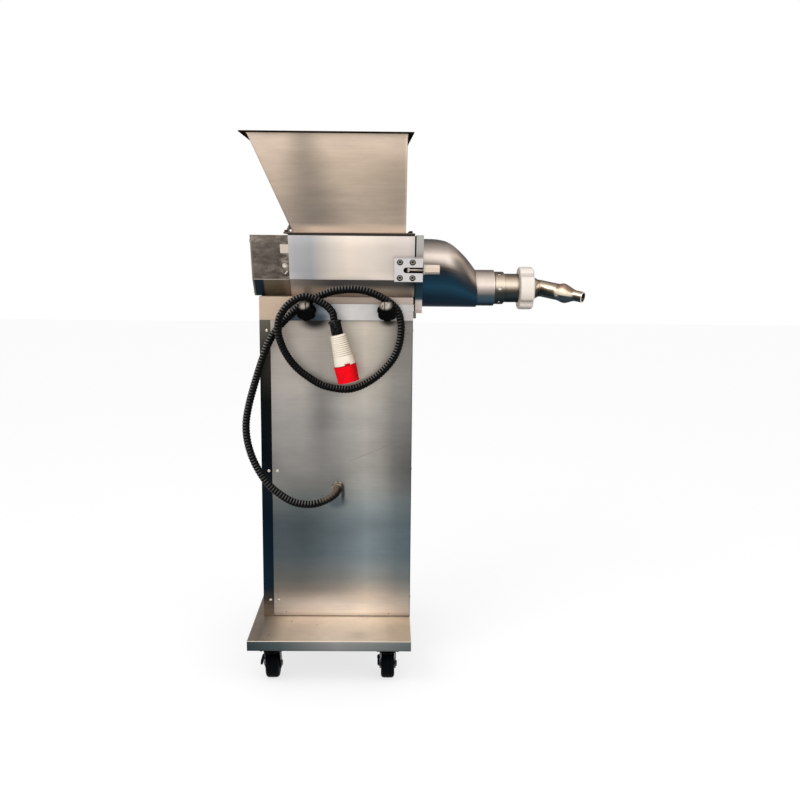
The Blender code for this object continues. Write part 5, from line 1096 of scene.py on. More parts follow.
def hose_finish():
    """Black conduit whose ribs are painted grey on their upper left side, as a highlight."""
    look = Look("hose_plastic")
    crest = look.add("ShaderNodeAttribute", {"attribute_name": "crest"}, out="Fac")
    skin = look.noise(160.0, 3.0)
    facing = look.nz * 0.62 - look.nx * 0.52 - look.ny * 0.34
    painted_rib_highlight = look.fade(facing, 0.26, 0.92) * look.fade(crest, 0.40, 1.0) * (0.40 + 0.8 * skin)
    colour = look.blend(painted_rib_highlight, tone(6, 6, 7), tone(152, 148, 143))
    # By the gland the hose is brownish-grey from wear, painted lighter where it faces the upper left, as lit.
    near_gland = look.fade(look.x, 0.156, 0.184) * look.fade(look.z, 0.560, 0.530)
    wear_and_sheen = look.blend(look.fade(facing, 0.0, 0.85), tone(12, 11, 10), tone(116, 102, 90))
    colour = look.blend(near_gland * 0.85, colour, wear_and_sheen)
    return look.finish(colour, 0.42 + 0.2 * (skin - 0.5), relief=skin, depth=0.00003, Specular_IOR_Level=0.05)


def caster_finish():
    """Black with blue-grey glints down the left side of the front casters."""
    look = Look("caster_paint")
    glint = look.hump(look.x, 0.0185, 0.0035) + look.hump(look.x, 0.3205, 0.0028)
    glint = glint * look.hump(look.z, 0.056, 0.030) * look.fade(look.y, -0.07, -0.09)
    skin = look.noise((300.0, 300.0, 90.0), 3.0)
    colour = look.blend(glint * look.fade(skin, 0.35, 0.6), tone(3, 4, 6), tone(128, 146, 156))
    return look.finish(colour, 0.34 + 0.1 * skin, relief=skin, depth=0.00002, Specular_IOR_Level=0.05)


def ivory_finish():
    """Ivory, shaded on its right side and in the grooves of its grip."""
    look = Look("plug_ivory")
    down = look.along(HOSE_END + 0.0366 * PLUG_DIRECTION, PLUG_DIRECTION)
    turns = (down - 0.003) / 0.0053
    groove = look.hump(turns.math("FRACT", turns), 0.66, 0.34)
    groove = groove * look.fade(down, 0.0575, 0.0555) * look.fade(down, 0.002, 0.004)
    side = look.fade(look.nx, -0.7, 0.8)
    plain = look.blend(look.fade(look.nx, 0.35, 1.0) * 0.7, tone(252, 240, 222), tone(206, 184, 162))
    plain = look.blend(look.fade(look.nx, -0.7, -1.0) * 0.5, plain, tone(214, 198, 180))
    colour = look.blend(groove * (0.18 + 0.72 * side), plain, tone(150, 128, 108))
    skin = look.noise(700.0)
    return look.finish(colour, 0.45, relief=skin, depth=0.00003, Specular_IOR_Level=0.15)


def red_finish():
    """Red, painted darker as shade on its right side, and dark along its top edge."""
    look = Look("collar_red")
    down = look.along(HOSE_END + 0.1169 * PLUG_DIRECTION, PLUG_DIRECTION)
    cloud = look.noise(60.0, 4.0)
    plain = look.blend(look.fade(look.nx, 0.30, 0.95), tone(255, 12, 30), tone(180, 4, 14))
    plain = look.blend(look.fade(cloud, 0.5, 0.7) * 0.35, plain, tone(214, 4, 18))
    colour = look.blend(look.fade(down, 0.0022, 0.0006) * 0.6, plain, tone(120, 8, 10))
    return look.finish(colour, 0.40, Specular_IOR_Level=0.04)


def sleeve_finish():
    """Black rubber, wrinkled across its length, with painted highlights on the wrinkles that face left."""
    look = Look("sleeve_rubber")
    wrinkle = look.noise((90.0, 90.0, 420.0), 4.0, 0.65)
    crossing = look.noise((300.0, 300.0, 130.0), 3.0)
    lit = look.fade(wrinkle * 0.6 + crossing * 0.4, 0.49, 0.62) * look.fade(look.nx, 0.9, -0.3)
    colour = look.blend(lit * 0.8, tone(9, 9, 10), tone(96, 92, 88))
    return look.finish(colour, 0.6, relief=wrinkle, depth=0.0004, Specular_IOR_Level=0.05)


def gland_colour(look):
    """Nickel with wear, painted lit from the upper left, with dark rings of painted shade, one before the
    hose, and painted shade on its right side.
    """
    facing = look.nz * 0.75 - look.nx * 0.40 - look.ny * 0.25
    tones = look.levels(facing, [
        (-1.0, 24, 21, 20), (-0.3, 40, 34, 31), (0.1, 126, 108, 96), (0.25, 216, 192, 170),
        (0.6, 244, 222, 200), (1.0, 196, 175, 157),
    ])
    across, up = look.x - GLAND_X, look.z - GLAND_LEVEL
    from_axis = (across * across + up * up) ** 0.5
    # Dark rings of painted shade, one round the hose, and painted shade down the right side.
    for radius, width in ((0.0112, 0.0018), (0.0138, 0.0012)):
        tones = look.blend(look.hump(from_axis, radius, width) * 0.9, tones, tone(40, 33, 29))
    tones = look.blend(look.fade(across, 0.006, 0.013) * 0.8, tones, tone(48, 42, 39))
    return look.scaled(tones, 0.8 + 0.4 * look.noise(150.0, 4.0))


def union_finish():
    """White, with painted shade along both rounded ends, underneath and in its notches."""
    look = Look("union_white")
    cloud = look.noise(30.0, 4.0)
    round_it = look.levels(look.nz, [
        (-1.0, 132, 125, 118), (-0.85, 186, 177, 168), (-0.60, 226, 215, 205), (-0.10, 246, 234, 223),
        (0.50, 252, 241, 230), (0.88, 240, 230, 220), (1.0, 196, 188, 180),
    ])
    left_end = look.fade(look.nx, -0.25, -0.75)
    right_end = look.fade(look.nx, 0.30, 0.80)
    across, up = look.y - MIDDLE, look.z - OUTLET_LEVEL
    from_axis = (across * across + up * up) ** 0.5
    notch = look.fade(from_axis, 0.0535, 0.0510) * look.fade(from_axis, 0.0440, 0.0480)
    ends = look.blend(left_end * 0.60 + right_end * 0.42, round_it, tone(128, 118, 108))
    colour = look.blend(notch * 0.35, ends, tone(150, 140, 130))
    colour = look.scaled(colour, 0.95 + 0.10 * cloud)
    skin = look.noise(900.0)
    return look.finish(colour, 0.40 + 0.1 * skin, relief=skin, depth=0.00003, Specular_IOR_Level=0.15)


def clamp_nut_colour(look):
    """A washer painted bright as a highlight, then a nut whose lower flat is painted greyer than its front
    one, as shade.
    """
    flats = look.levels(look.nz, [
        (-1.0, 128, 120, 112), (-0.85, 172, 164, 154), (-0.50, 184, 174, 163), (-0.20, 226, 205, 187),
        (0.40, 232, 211, 193), (0.80, 244, 226, 210), (1.0, 214, 196, 180),
    ])
    washer = look.blend(look.hump(look.x, 0.4262, 0.0016), tone(92, 80, 70), tone(250, 244, 234))
    flats = look.blend(look.fade(look.x, 0.4284, 0.4274), flats, washer)
    end = look.fade(look.x, 0.4650, 0.4660)
    return look.blend(end * 0.5, flats, tone(150, 138, 128))


def swing_bolt_colour(look):
    """A threaded shank with painted light along its lower front and painted shade above it and at the eye in
    its slot.
    """
    shank = look.levels(look.nz, [
        (-1.0, 40, 34, 29), (-0.85, 92, 84, 75), (-0.60, 200, 190, 176), (-0.05, 214, 204, 190),
        (0.12, 150, 140, 128), (0.30, 40, 34, 29), (1.0, 20, 17, 15),
    ])
    return look.blend(look.fade(look.x, 0.3860, 0.3830), shank, tone(44, 38, 33))


def rim_shade_finish():
    """The rim's underside, dark as the room behind the camera."""
    look = Look("rim_underside")
    cloud = look.noise(30.0)
    return look.finish(look.scaled(tone(22, 19, 16), 0.8 + 0.4 * cloud), 0.6, Specular_IOR_Level=0.0)


HOPPER_STEEL = brushed("hopper_steel", hopper_colour, 0.40, 0.75, coarse=0.20, fine=0.14)
RIM_SHADE = rim_shade_finish()
GUSSET_STEEL = brushed("gusset_steel", gusset_colour, 0.45, 0.4)
PANEL_STEEL = brushed("front_panel_steel", panel_colour, 0.44, 0.62, coarse=0.20, fine=0.16)
STRIP_STEEL = brushed("left_cover_steel", strip_colour, 0.40, 0.75)
COVER_STEEL = brushed("side_cover_steel", cover_colour, 0.40, 0.7)
TRAY_STEEL = brushed("tray_steel", tray_colour, 0.46, 0.45, coarse=0.14, fine=0.16)
PLATE_STEEL = brushed("front_plate_steel", plate_colour, 0.45, 0.55, coarse=0.08, fine=0.08)
HOUSING_STEEL = brushed("drive_housing_steel", housing_colour, 0.45, 0.6)
NECK_STEEL = brushed("trough_steel", neck_colour, 0.48, 0.35)
BAND_STEEL = brushed("top_band_steel", band_colour, 0.40, 0.6, coarse=0.15)
HOOK_STEEL = brushed("hook_strip_steel", hook_strip_colour, 0.36, 0.6, coarse=0.12)
END_STEEL = brushed("end_plate_steel", end_plate_colour, 0.36, 0.7, coarse=0.10, fine=0.12)
DOME_STEEL = brushed("dome_steel", dome_colour, 0.30, 0.8, 0.0, 0.08, (60.0, 60.0, 60.0))
COLLAR_STEEL = brushed("collar_steel", collar_colour, 0.30, 0.8, 0.05, 0.08, (90.0, 20.0, 20.0))
PIPE_STEEL = brushed("pipe_steel", pipe_colour, 0.30, 0.8, 0.12, 0.08, (160.0, 12.0, 12.0))
NOZZLE_STEEL = brushed("nozzle_steel", nozzle_colour, 0.28, 0.8, 0.08, 0.08, (60.0, 60.0, 60.0))
CLAMP_STEEL = brushed("clamp_steel", even_steel(216, 212, 211, spread=0.1), 0.34, 0.6, 0.08, 0.10)
NUT_STEEL = brushed("clamp_nut_steel", clamp_nut_colour, 0.34, 0.5, 0.06, 0.10)
BOLT_STEEL = brushed("swing_bolt_steel", swing_bolt_colour, 0.36, 0.4, 0.06, 0.10)
BRIGHT_STEEL = brushed("bright_steel", even_steel(228, 218, 206, spread=0.12), 0.26, 0.8, 0.06, 0.08)
DULL_STEEL = brushed("dull_steel", even_steel(128, 120, 110), 0.40)
AUGER_STEEL = brushed("auger_steel", even_steel(196, 188, 178), 0.25, 0.9, 0.10, 0.10)
SCREW_STEEL = brushed("screw_steel", even_steel(212, 200, 184, spread=0.2), 0.25, 0.8, 0.0, 0.10)
DARK_SCREW = brushed("dark_screw_steel", even_steel(48, 42, 37, spread=0.2), 0.45, 0.4, 0.0, 0.10)
SOCKET_HEAD = brushed("socket_head_steel", even_steel(160, 152, 141, spread=0.2), 0.40, 0.5, 0.0, 0.10)
HOLE_FLOOR = brushed("hole_floor_steel", even_steel(255, 244, 232, spread=0.2), 0.40, 0.2, 0.0, 0.10)
SOCKET_SHADE = brushed("socket_shade", even_steel(34, 29, 24, spread=0.3), 0.5, 0.2, 0.0, 0.10)
GLAND_NICKEL = brushed("gland_nickel", gland_colour, 0.36, 0.5, 0.10, 0.10)
PIN_BRASS = brushed("contact_brass", even_steel(196, 160, 96, spread=0.2), 0.25, 0.9, 0.0, 0.10)
KNOB_PLASTIC = knob_finish()
HOSE_PLASTIC = hose_finish()
CASTER_PAINT = caster_finish()
SLEEVE_RUBBER = sleeve_finish()
IVORY_PLASTIC = ivory_finish()
RED_PLASTIC = red_finish()
WHITE_PLASTIC = union_finish()
TYRE_RUBBER = moulded("tyre_rubber", (4, 5, 7), (12, 14, 18), 0.60, shine=0.04)
GASKET_RUBBER = moulded("gasket_rubber", (56, 54, 52), (40, 38, 36), 0.70)
BELT_RUBBER = moulded("belt_rubber", (34, 34, 35), (22, 22, 22), 0.65)
MOTOR_PAINT = moulded("motor_paint", (62, 92, 120), (48, 74, 98), 0.42, grain=500.0)
INVERTER_PLASTIC = moulded("inverter_plastic", (72, 84, 94), (58, 68, 78), 0.5)
CONTACT_PLASTIC = moulded("contact_plastic", (40, 38, 36), (28, 27, 26), 0.5)


# Mains conduit, with its sleeve and plug

HOSE_RADIUS = 0.0102
HOSE_RIBS = 232
RIB_DEPTH = 0.0013
HOSE_START = Vector((GLAND_X, -0.0246, GLAND_LEVEL))
HOSE_ROUTE = (
    (0.200, -0.0665, 0.489), (0.187, -0.0845, 0.483), (0.160, -0.0955, 0.473), (0.132, -0.0960, 0.469),
    (0.098, -0.0940, 0.473), (0.067, -0.0900, 0.488), (0.033, -0.0840, 0.514), (0.007, -0.0770, 0.547),
    (-0.014, -0.0700, 0.587), (-0.027, -0.0630, 0.631), (-0.030, -0.0570, 0.674), (-0.023, -0.0510, 0.720),
    (-0.010, -0.0450, 0.769), (0.008, -0.0380, 0.828), (0.025, -0.0310, 0.874), (0.042, -0.0270, 0.905),
    (0.059, -0.0240, 0.927), (0.082, -0.0230, 0.950), (0.108, -0.0230, 0.973), (0.132, -0.0235, 0.988),
    (0.155, -0.0250, 0.999), (0.176, -0.0260, 1.007), (0.199, -0.0270, 1.014), (0.234, -0.0270, 1.018),
    (0.262, -0.0265, 1.017), (0.286, -0.0260, 1.012), (0.309, -0.0240, 1.003), (0.329, -0.0230, 0.992),
    (0.347, -0.0230, 0.979), (0.360, -0.0235, 0.963), (0.367, -0.0250, 0.941), (0.369, -0.0270, 0.913),
    (0.365, -0.0280, 0.882), (0.355, -0.0270, 0.852), (0.336, -0.0250, 0.823), (0.307, -0.0210, 0.794),
    (0.271, -0.0170, 0.770), (0.234, -0.0145, 0.758), (0.197, -0.0145, 0.760), (0.161, -0.0170, 0.770),
    (0.128, -0.0230, 0.791), (0.100, -0.0300, 0.815), (0.078, -0.0380, 0.844), (0.063, -0.0460, 0.876),
    (0.055, -0.0530, 0.910), (0.058, -0.0560, 0.943), (0.074, -0.0560, 0.971), (0.096, -0.0540, 0.990),
    (0.122, -0.0520, 1.000), (0.144, -0.0510, 0.996), (0.164, -0.0505, 0.986), (0.181, -0.0500, 0.975),
)


def smooth_route(points, parts=24):
    """A Catmull-Rom curve through the points."""
    ends = [2 * points[0] - points[1], *points, 2 * points[-1] - points[-2]]
    fine = []
    for a, b, c, d in zip(ends, ends[1:], ends[2:], ends[3:]):
        for i in range(parts):
            t = i / parts
            square = (2 * a - 5 * b + 4 * c - d) * t**2
            cube = (3 * b - a - 3 * c + d) * t**3
            fine.append((2 * b + (c - a) * t + square + cube) / 2)
    return [*fine, points[-1]]


def make_sleeve(seat):
    profile = [
        (0, 0), (0.0148, 0), (0.0164, 0.0008), (0.0168, 0.0020), (0.0168, 0.0048), (0.0160, 0.0060),
        (0.0150, 0.0066), (0.0148, 0.0110), (0.0150, 0.0120), (0.0147, 0.0130), (0.0150, 0.0200),
        (0.0150, 0.0350), (0.0144, 0.0360), (0, 0.0360),
    ]
    shape = Shape().turned(profile, seat)
    return piece("hose_sleeve", shape, [SLEEVE_RUBBER], "machine", ["conduit_sleeve"])


def make_plug_grip(seat):
    """A long cone with grip rings on its upper part."""
    rings, first, last, length = 10, 0.003, 0.056, 0.080
    neck, widening = 0.0200, 0.0072
    profile = [(0, 0), (0.0165, 0), (0.0186, 0.0006), (0.0197, 0.0022)]
    for i in range(rings):
        foot = first + i * (last - first) / rings
        for share, drop in ((0.0, 0.0), (0.35, 0.0), (0.5, 0.0006), (0.66, 0.0013), (0.84, 0.0009)):
            height = foot + share * (last - first) / rings
            profile.append((neck + widening * height / length - drop, height))
    profile += [(neck + widening * 0.058 / length, 0.058), (0.0272, 0.078), (0.0266, 0.0797)]
    profile += [(0.025, length), (0, length)]
    shape = Shape().turned(profile, seat, 56)
    return piece("plug_grip", shape, [IVORY_PLASTIC], "machine", ["plug_body"])


def make_plug_shroud(seat):
    """A collar with a lip at each end, and a tapered tab on its front."""
    profile = [
        (0, 0), (0.0270, 0), (0.0289, 0.0006), (0.0295, 0.0022), (0.0293, 0.0060), (0.0286, 0.0066),
        (0.0285, 0.0080), (0.0291, 0.0088), (0.0277, 0.0380), (0.0283, 0.0386), (0.0280, 0.0434),
        (0.0270, 0.0440), (0.0250, 0.0440), (0.0245, 0.0430), (0.0245, 0.0040), (0, 0.0040),
    ]
    shape = Shape().turned(profile, seat, 64)
    facing = seat.inverted().to_3x3() @ Vector((0.30, -0.95, 0.05))
    tab = []
    for height, foot, foot_half, top, top_half in (
        (-0.005, 0.0276, 0.0075, 0.0302, 0.0055), (0.004, 0.0262, 0.0060, 0.0304, 0.0040),
        (0.030, 0.0256, 0.0040, 0.0292, 0.0020),
    ):
        section = [(foot, -foot_half), (top, -top_half), (top, top_half), (foot, foot_half)]
        tab.append(raised(section, height))
    shape.skin(tab, seat @ Matrix.Rotation(math.atan2(facing.y, facing.x), 4, "Z"))
    return piece("plug_shroud", shape, [RED_PLASTIC], "machine", ["plug_collar"])


def make_plug_pins(seat):
    shape = Shape().turned([(0, 0), (0.0242, 0), (0.0242, 0.0072), (0.0234, 0.0080), (0, 0.0080)], seat, 48)
    shape.paint = 1
    pin = [(0, 0.004), (0.003, 0.004), (0.003, 0.0282), (0.0022, 0.0297), (0, 0.0300)]
    for x, y in circle(0.0135, 5):
        shape.turned(pin, seat @ at(x, y, 0), 16)
    looks = [CONTACT_PLASTIC, PIN_BRASS]
    return piece("plug_pins", shape, looks, "machine", ["plug_contacts"])


def make_hose():
    forward = Vector((0, -1, 0))
    route = smooth_route([
        HOSE_START,
        HOSE_START + forward * HOSE_RADIUS,
        HOSE_START + forward * 2 * HOSE_RADIUS,
        *(Vector(point) for point in HOSE_ROUTE),
        HOSE_END - PLUG_DIRECTION * 2 * HOSE_RADIUS,
        HOSE_END - PLUG_DIRECTION * HOSE_RADIUS,
        HOSE_END,
    ])
    line = bpy.data.meshes.new("hose_line")
    line.from_pydata(route, [(i, i + 1) for i in range(len(route) - 1)], [])
    mesh = grown(
        ribbed_hose_group(), line,
        ribs=HOSE_RIBS, crest=HOSE_RADIUS, groove=RIB_DEPTH, sides=20, paint=HOSE_PLASTIC,
    )
    hose = shown("mains_conduit", mesh, "machine", ["power_conduit"])
    sleeve_seat = along(HOSE_END + GAP * PLUG_DIRECTION, PLUG_DIRECTION)
    grip_seat = sleeve_seat @ at(0, 0, 0.0363)
    shroud_seat = grip_seat @ at(0, 0, 0.0803)
    sleeve = make_sleeve(sleeve_seat)
    plug = make_plug_grip(grip_seat)
    collar = make_plug_shroud(shroud_seat)
    contacts = make_plug_pins(shroud_seat @ at(0, 0, 0.0043))
    [point + SHIFT for point in route]


make_hose()


# Base tray and casters

AXLE_LEVEL = 0.03718
AXLE_TRAIL = 0.026
BRAKE_OFFSET = 0.013
BRAKE_LEVEL = 0.06068


def make_tray():
    carried_over(("tray", "base_tray", TRAY_STEEL, "brushed_steel", 0.0009))


def make_caster_mount(name, x, y):
    """A square plate with a ball race under it."""
    underside, thickness = 0.0977, 0.003
    square = rectangle(-0.032, 0.032, -0.029, 0.029, 0.006)
    shape = Shape().prism(square, thickness, at(x, y, underside - thickness))
    race = [
        (0, 0), (0.0176, 0), (0.0190, 0.0014), (0.0190, 0.0036), (0.0176, 0.0060), (0.0165, 0.0075),
        (0, 0.0075),
    ]
    shape.turned(race, at(x, y, 0.0887))
    node = f"caster_plate_{name}"
    piece(f"caster_mount_{name}", shape, [CASTER_PAINT], "machine", [node], edge=0.0005)


def make_caster_yoke(name, x, y, way, brake):
    """A crown, two legs that lean back to the axle, and its nuts. A brake's pin goes through the left leg."""
    crown, crown_height, leg = 0.0884, 0.005, 0.003
    axle_y = y + way * AXLE_TRAIL
    profile = [(0, 0), (0.0222, 0), (0.0235, 0.0012), (0.0235, 0.0030), (0.0218, 0.0050), (0, crown_height)]
    shape = Shape().turned(profile, at(x, y, crown - crown_height))
    foot, foot_radius, steps = [], 0.013, 14
    for i in range(steps + 1):
        angle = i * math.pi / steps
        across, down = foot_radius * math.cos(angle), foot_radius * math.sin(angle)
        foot.append((AXLE_TRAIL - across, AXLE_LEVEL - crown - down))
    section = [(way * leg_y, z) for leg_y, z in [(-0.0118, 0), *foot, (0.030, -0.026), (0.0235, 0)]]
    legs = [Shape().prism(section, leg, along_x(x + low, y, crown)) for low in (-0.0213, 0.0183)]
    shape.paint = 1
    nut = polygon(0.008, 6, 24, most=0.0077)
    for low, side in ((-0.0243, -1), (0.0213, 1)):
        shape.prism(nut, 0.003, along_x(x + low, axle_y, AXLE_LEVEL))
        end = side * 0.0004
        tip = along_x(x + low + (0.003 if side > 0 else 0), axle_y, AXLE_LEVEL)
        shape.turned([(0, -0.001), (0.004, -0.001), (0.004, 0.0), (0.0035, end), (0, end)], tip, 20)
    shape.drum(0.005, -0.0215, 0.0215, along_x(x, axle_y, AXLE_LEVEL), 24)
    pin_hole = []
    if brake:
        seat = along_x(x - 0.0235, y + BRAKE_OFFSET, BRAKE_LEVEL)
        pin_hole.append(Shape().drum(0.0033, 0, 0.007, seat, 20))
    parts = [(shape, 0.0005, 2, ()), (legs[0], 0.0006, 2, pin_hole), (legs[1], 0.0006, 2, ())]
    mesh = made_up(parts, [CASTER_PAINT, DULL_STEEL])
    shown(f"caster_yoke_{name}", mesh, f"caster_{name}", [f"caster_fork_{name}"])


def make_caster_wheel(name, x, axle_y):
    """A tyre with round shoulders and a shallow groove round its middle, on a dished hub."""
    rim, shoulder, shoulder_start, groove, hub = AXLE_LEVEL, 0.0082, -0.0094, 0.0008, 0.0225
    profile = [
        (0.0053, -0.0180), (0.0118, -0.0180), (0.0130, -0.0170), (0.0134, -0.0150), (0.0160, -0.0142),
        (0.0200, -0.0142), (0.0226, -0.0158), (0.0250, -0.0172), (0.0272, -0.0176),
    ]
    for angle in range(0, 91, 15):
        turn = math.radians(angle)
        out = rim - shoulder + shoulder * math.sin(turn)
        profile.append((out, shoulder_start - shoulder * math.cos(turn)))
    profile += [(rim, -0.0060), (rim - groove, -0.0055), (rim - groove, -0.0047), (rim, -0.0042)]
    profile += [(radius, -height) for radius, height in reversed(profile)]
    shape = Shape().turned(profile, along_x(x, axle_y, AXLE_LEVEL), 64, bore=True)
    for face in shape.bm.faces:
        middle = face.calc_center_median()
        face.material_index = int(math.hypot(middle.y - axle_y, middle.z - AXLE_LEVEL) < hub)
    looks = [TYRE_RUBBER, CASTER_PAINT]
    piece(f"wheel_of_{name}", shape, looks, f"wheel_{name}", [f"caster_wheel_{name}"])


def make_brake_pedal(name, x, y):
    """A flat lever with four foot ridges, on a pin with a washer."""
    pivot = along_x(x - 0.0266, y + BRAKE_OFFSET, BRAKE_LEVEL)
    lever = [(-reach, rise) for reach, rise in stadium(0.0065, 0.034, 10)]
    shape = Shape().prism(lever, 0.005, pivot)
    for i in range(4):
        ridge = -0.024 - 0.0035 * i
        shape.block((ridge, 0.0050, 0.0004), (ridge + 0.0016, 0.0072, 0.0046), pivot)
    shape.drum(0.003, 0.0025, 0.0083, pivot, 16)
    shape.turned([(0, -0.0012), (0.0036, -0.0012), (0.0042, 0.0), (0.0042, 0.002), (0, 0.002)], pivot, 20)
    body, node = f"brake_{name}", f"brake_lever_{name}"
    piece(f"brake_pedal_{name}", shape, [CASTER_PAINT], body, [node], edge=0.0006)


def make_casters():
    bolts = []
    for end, y, way in (("front", -0.127, 1), ("rear", 0.367, -1)):
        for side, x in (("left", 0.038), ("right", 0.340)):
            name, brake = f"{end}_{side}", end == "front"
            make_caster_mount(name, x, y)
            make_caster_yoke(name, x, y, way, brake)
            make_caster_wheel(name, x, y + way * AXLE_TRAIL)
            if brake:
                make_brake_pedal(name, x, y)
            corners = [(x + dx, y + dy, 0.0948) for dx in (-0.0255, 0.0255) for dy in (-0.0225, 0.0225)]
            bolts += [(corner, (0, 0, -1)) for corner in corners]
    fasteners(
        "caster_bolts", bolts, DARK_SCREW, "dark_steel",
        sides=6, radius=0.0046, height=0.0026, crown=0.0006, crown_radius=0.0038,
    )


make_tray()
make_casters()


# Cabinet


def make_cabinet():
    carried_over(
        ("left_cover", "left_side_cover", STRIP_STEEL, "dark_steel", 0.0007),
        ("front_sheet", "front_panel", PANEL_STEEL, "panel_steel", 0.0007),
        ("right_cover", "right_side_cover", COVER_STEEL, "brushed_steel", 0.0007),
        ("rear_sheet", "rear_panel", COVER_STEEL, "brushed_steel", 0.0007),
        ("top_band", "top_frame", BAND_STEEL, "brushed_steel", 0.0007),
        ("hanger_strip", "hook_strip", HOOK_STEEL, "bright_steel", 0.0007),
        ("head_support", "head_rest", DULL_STEEL, "dark_steel", 0.0007),
    )
    front, left, right, back = (0, -1, 0), (-1, 0, 0), (1, 0, 0), (0, 1, 0)
    screws = [((0.0195, 0, 0.909), front)]
    for z in (0.534, 0.172):
        screws += [((x, 0, z), front) for x in (0.0195, 0.042)]
    for z in (0.909, 0.534, 0.172):
        screws += [((0, y, z), left) for y in (0.030, 0.210)]
        screws += [((0.400, y, z), right) for y in (0.032, 0.210)]
        screws += [((x, 0.240, z), back) for x in (0.045, 0.355)]
    fasteners(
        "cabinet_screws", screws, SCREW_STEEL, "bright_steel",
        sides=16, radius=0.0038, height=0.0007, crown=0.0013, crown_radius=0.0018,
    )
    on_panel = ((0.061, 0.138), (0.3415, 0.134), (0.163, 0.466), (0.387, 0.905))
    on_tray = ((0.080, -0.036), (0.150, -0.060), (0.030, -0.125))
    for name, rivets, radius, height in (
        ("panel_rivets", [((x, 0, z), front) for x, z in on_panel], 0.0013, 0.0003),
        ("tray_rivets", [((x, y, 0.125), UP) for x, y in on_tray], 0.0016, 0.0004),
    ):
        sizes = {"radius": radius, "height": height, "crown": height, "crown_radius": 2 * height}
        fasteners(name, rivets, DARK_SCREW, "dark_steel", sides=10, **sizes)


def make_knob(side, x):
    """A seven-lobed head with a domed face, on a round stem."""
    seat = along_y(x, -0.0083, 0.9628)
    lobes, middle, ripple = 7, 0.0250, 0.0015
    rings = []
    for height, inward in (
        (0.0283, 0.0050), (0.0290, 0.0022), (0.0304, 0.0004), (0.0322, 0.0), (0.0350, 0.0002),
        (0.0385, 0.0014), (0.0420, 0.0040), (0.0450, 0.0078), (0.0474, 0.0120), (0.0492, 0.0165),
        (0.0500, 0.0205),
    ):

        def reach(angle):
            lobe = 2 * abs(math.cos(lobes / 2 * angle)) ** 0.7 - 1
            return middle + ripple * (1 - inward / 0.024) * lobe - inward

        rings.append(raised(outline(reach, 112, -math.pi / 2), height))
    shape = Shape().skin([*rings, [(0, 0, 0.0503)]], seat)
    stem = [
        (0, -0.0078), (0.004, -0.0078), (0.004, 0.0003), (0.0080, 0.0003), (0.0080, 0.0026),
        (0.0065, 0.0034), (0.0065, 0.0225), (0.0095, 0.0283), (0.0095, 0.0300), (0, 0.0300),
    ]
    shape.turned(stem, seat, 32)
    name, node = f"hanger_knob_{side}", f"star_knob_{side}"
    piece(name, shape, [KNOB_PLASTIC], f"knob_{side}", [node])


def make_gland():
    """A hexagon, a finely fluted dome nut on it and a tube through the panel."""
    seat = along_y(GLAND_X, -GAP, GLAND_LEVEL)
    rings = []
    for height, most in ((0, 0.0155), (0.0012, None), (0.0086, None), (0.0100, 0.0150)):
        rings.append(raised(polygon(0.0165, 6, 48, most=most), height))
    bore = polygon(0.0066, 48, 48)
    shape = Shape().skin([*rings, raised(bore, 0.0100), raised(bore, 0)], seat, joined=True)
    flutes, steps = 18, 108
    rings = []
    for height, middle, ripple in (
        (0.0095, 0.0128, 0.0), (0.0108, 0.0130, 0.0004), (0.0118, 0.0132, 0.0006), (0.0190, 0.0132, 0.0006),
        (0.0205, 0.0126, 0.0004), (0.0230, 0.0112, 0.0), (0.0240, 0.0104, 0.0),
    ):
        fluted = outline(lambda angle: middle + ripple * math.cos(flutes * angle), steps)
        rings.append(raised(fluted, height))
    inside = circle(0.0101, steps)
    shape.skin([*rings, raised(inside, 0.0240), raised(inside, 0.0095)], seat, joined=True)
    tube = [(0.008, -0.0100), (0.008, 0.0004), (0.0065, 0.0004), (0.0065, -0.0100)]
    shape.turned(tube, seat, 32, bore=True)
    piece("conduit_gland", shape, [GLAND_NICKEL], "machine", ["cable_gland"])


make_cabinet()
make_knob("left", 0.1256)
make_knob("right", 0.3329)
make_gland()


# Trough, drive housing and what turns in them

FOLD_LEVEL = 1.041
FOLD_HALF = 0.117
WALL_RISE = 0.113
WALL_SPREAD = 0.036
AUGER_LEVEL = 1.058


def half_width(level):
    return FOLD_HALF + WALL_SPREAD * (level - FOLD_LEVEL) / WALL_RISE


def face_frame(side, level):
    """On the trough's outer plane: local X along the machine, Y into the trough, Z up the face."""
    lean = math.atan2(WALL_SPREAD, WALL_RISE)
    if side == "front":
        return at(0, MIDDLE - half_width(level), level) @ Matrix.Rotation(lean, 4, "X")
    return at(0, MIDDLE + half_width(level), level) @ Matrix.Rotation(math.pi - lean, 4, "X")


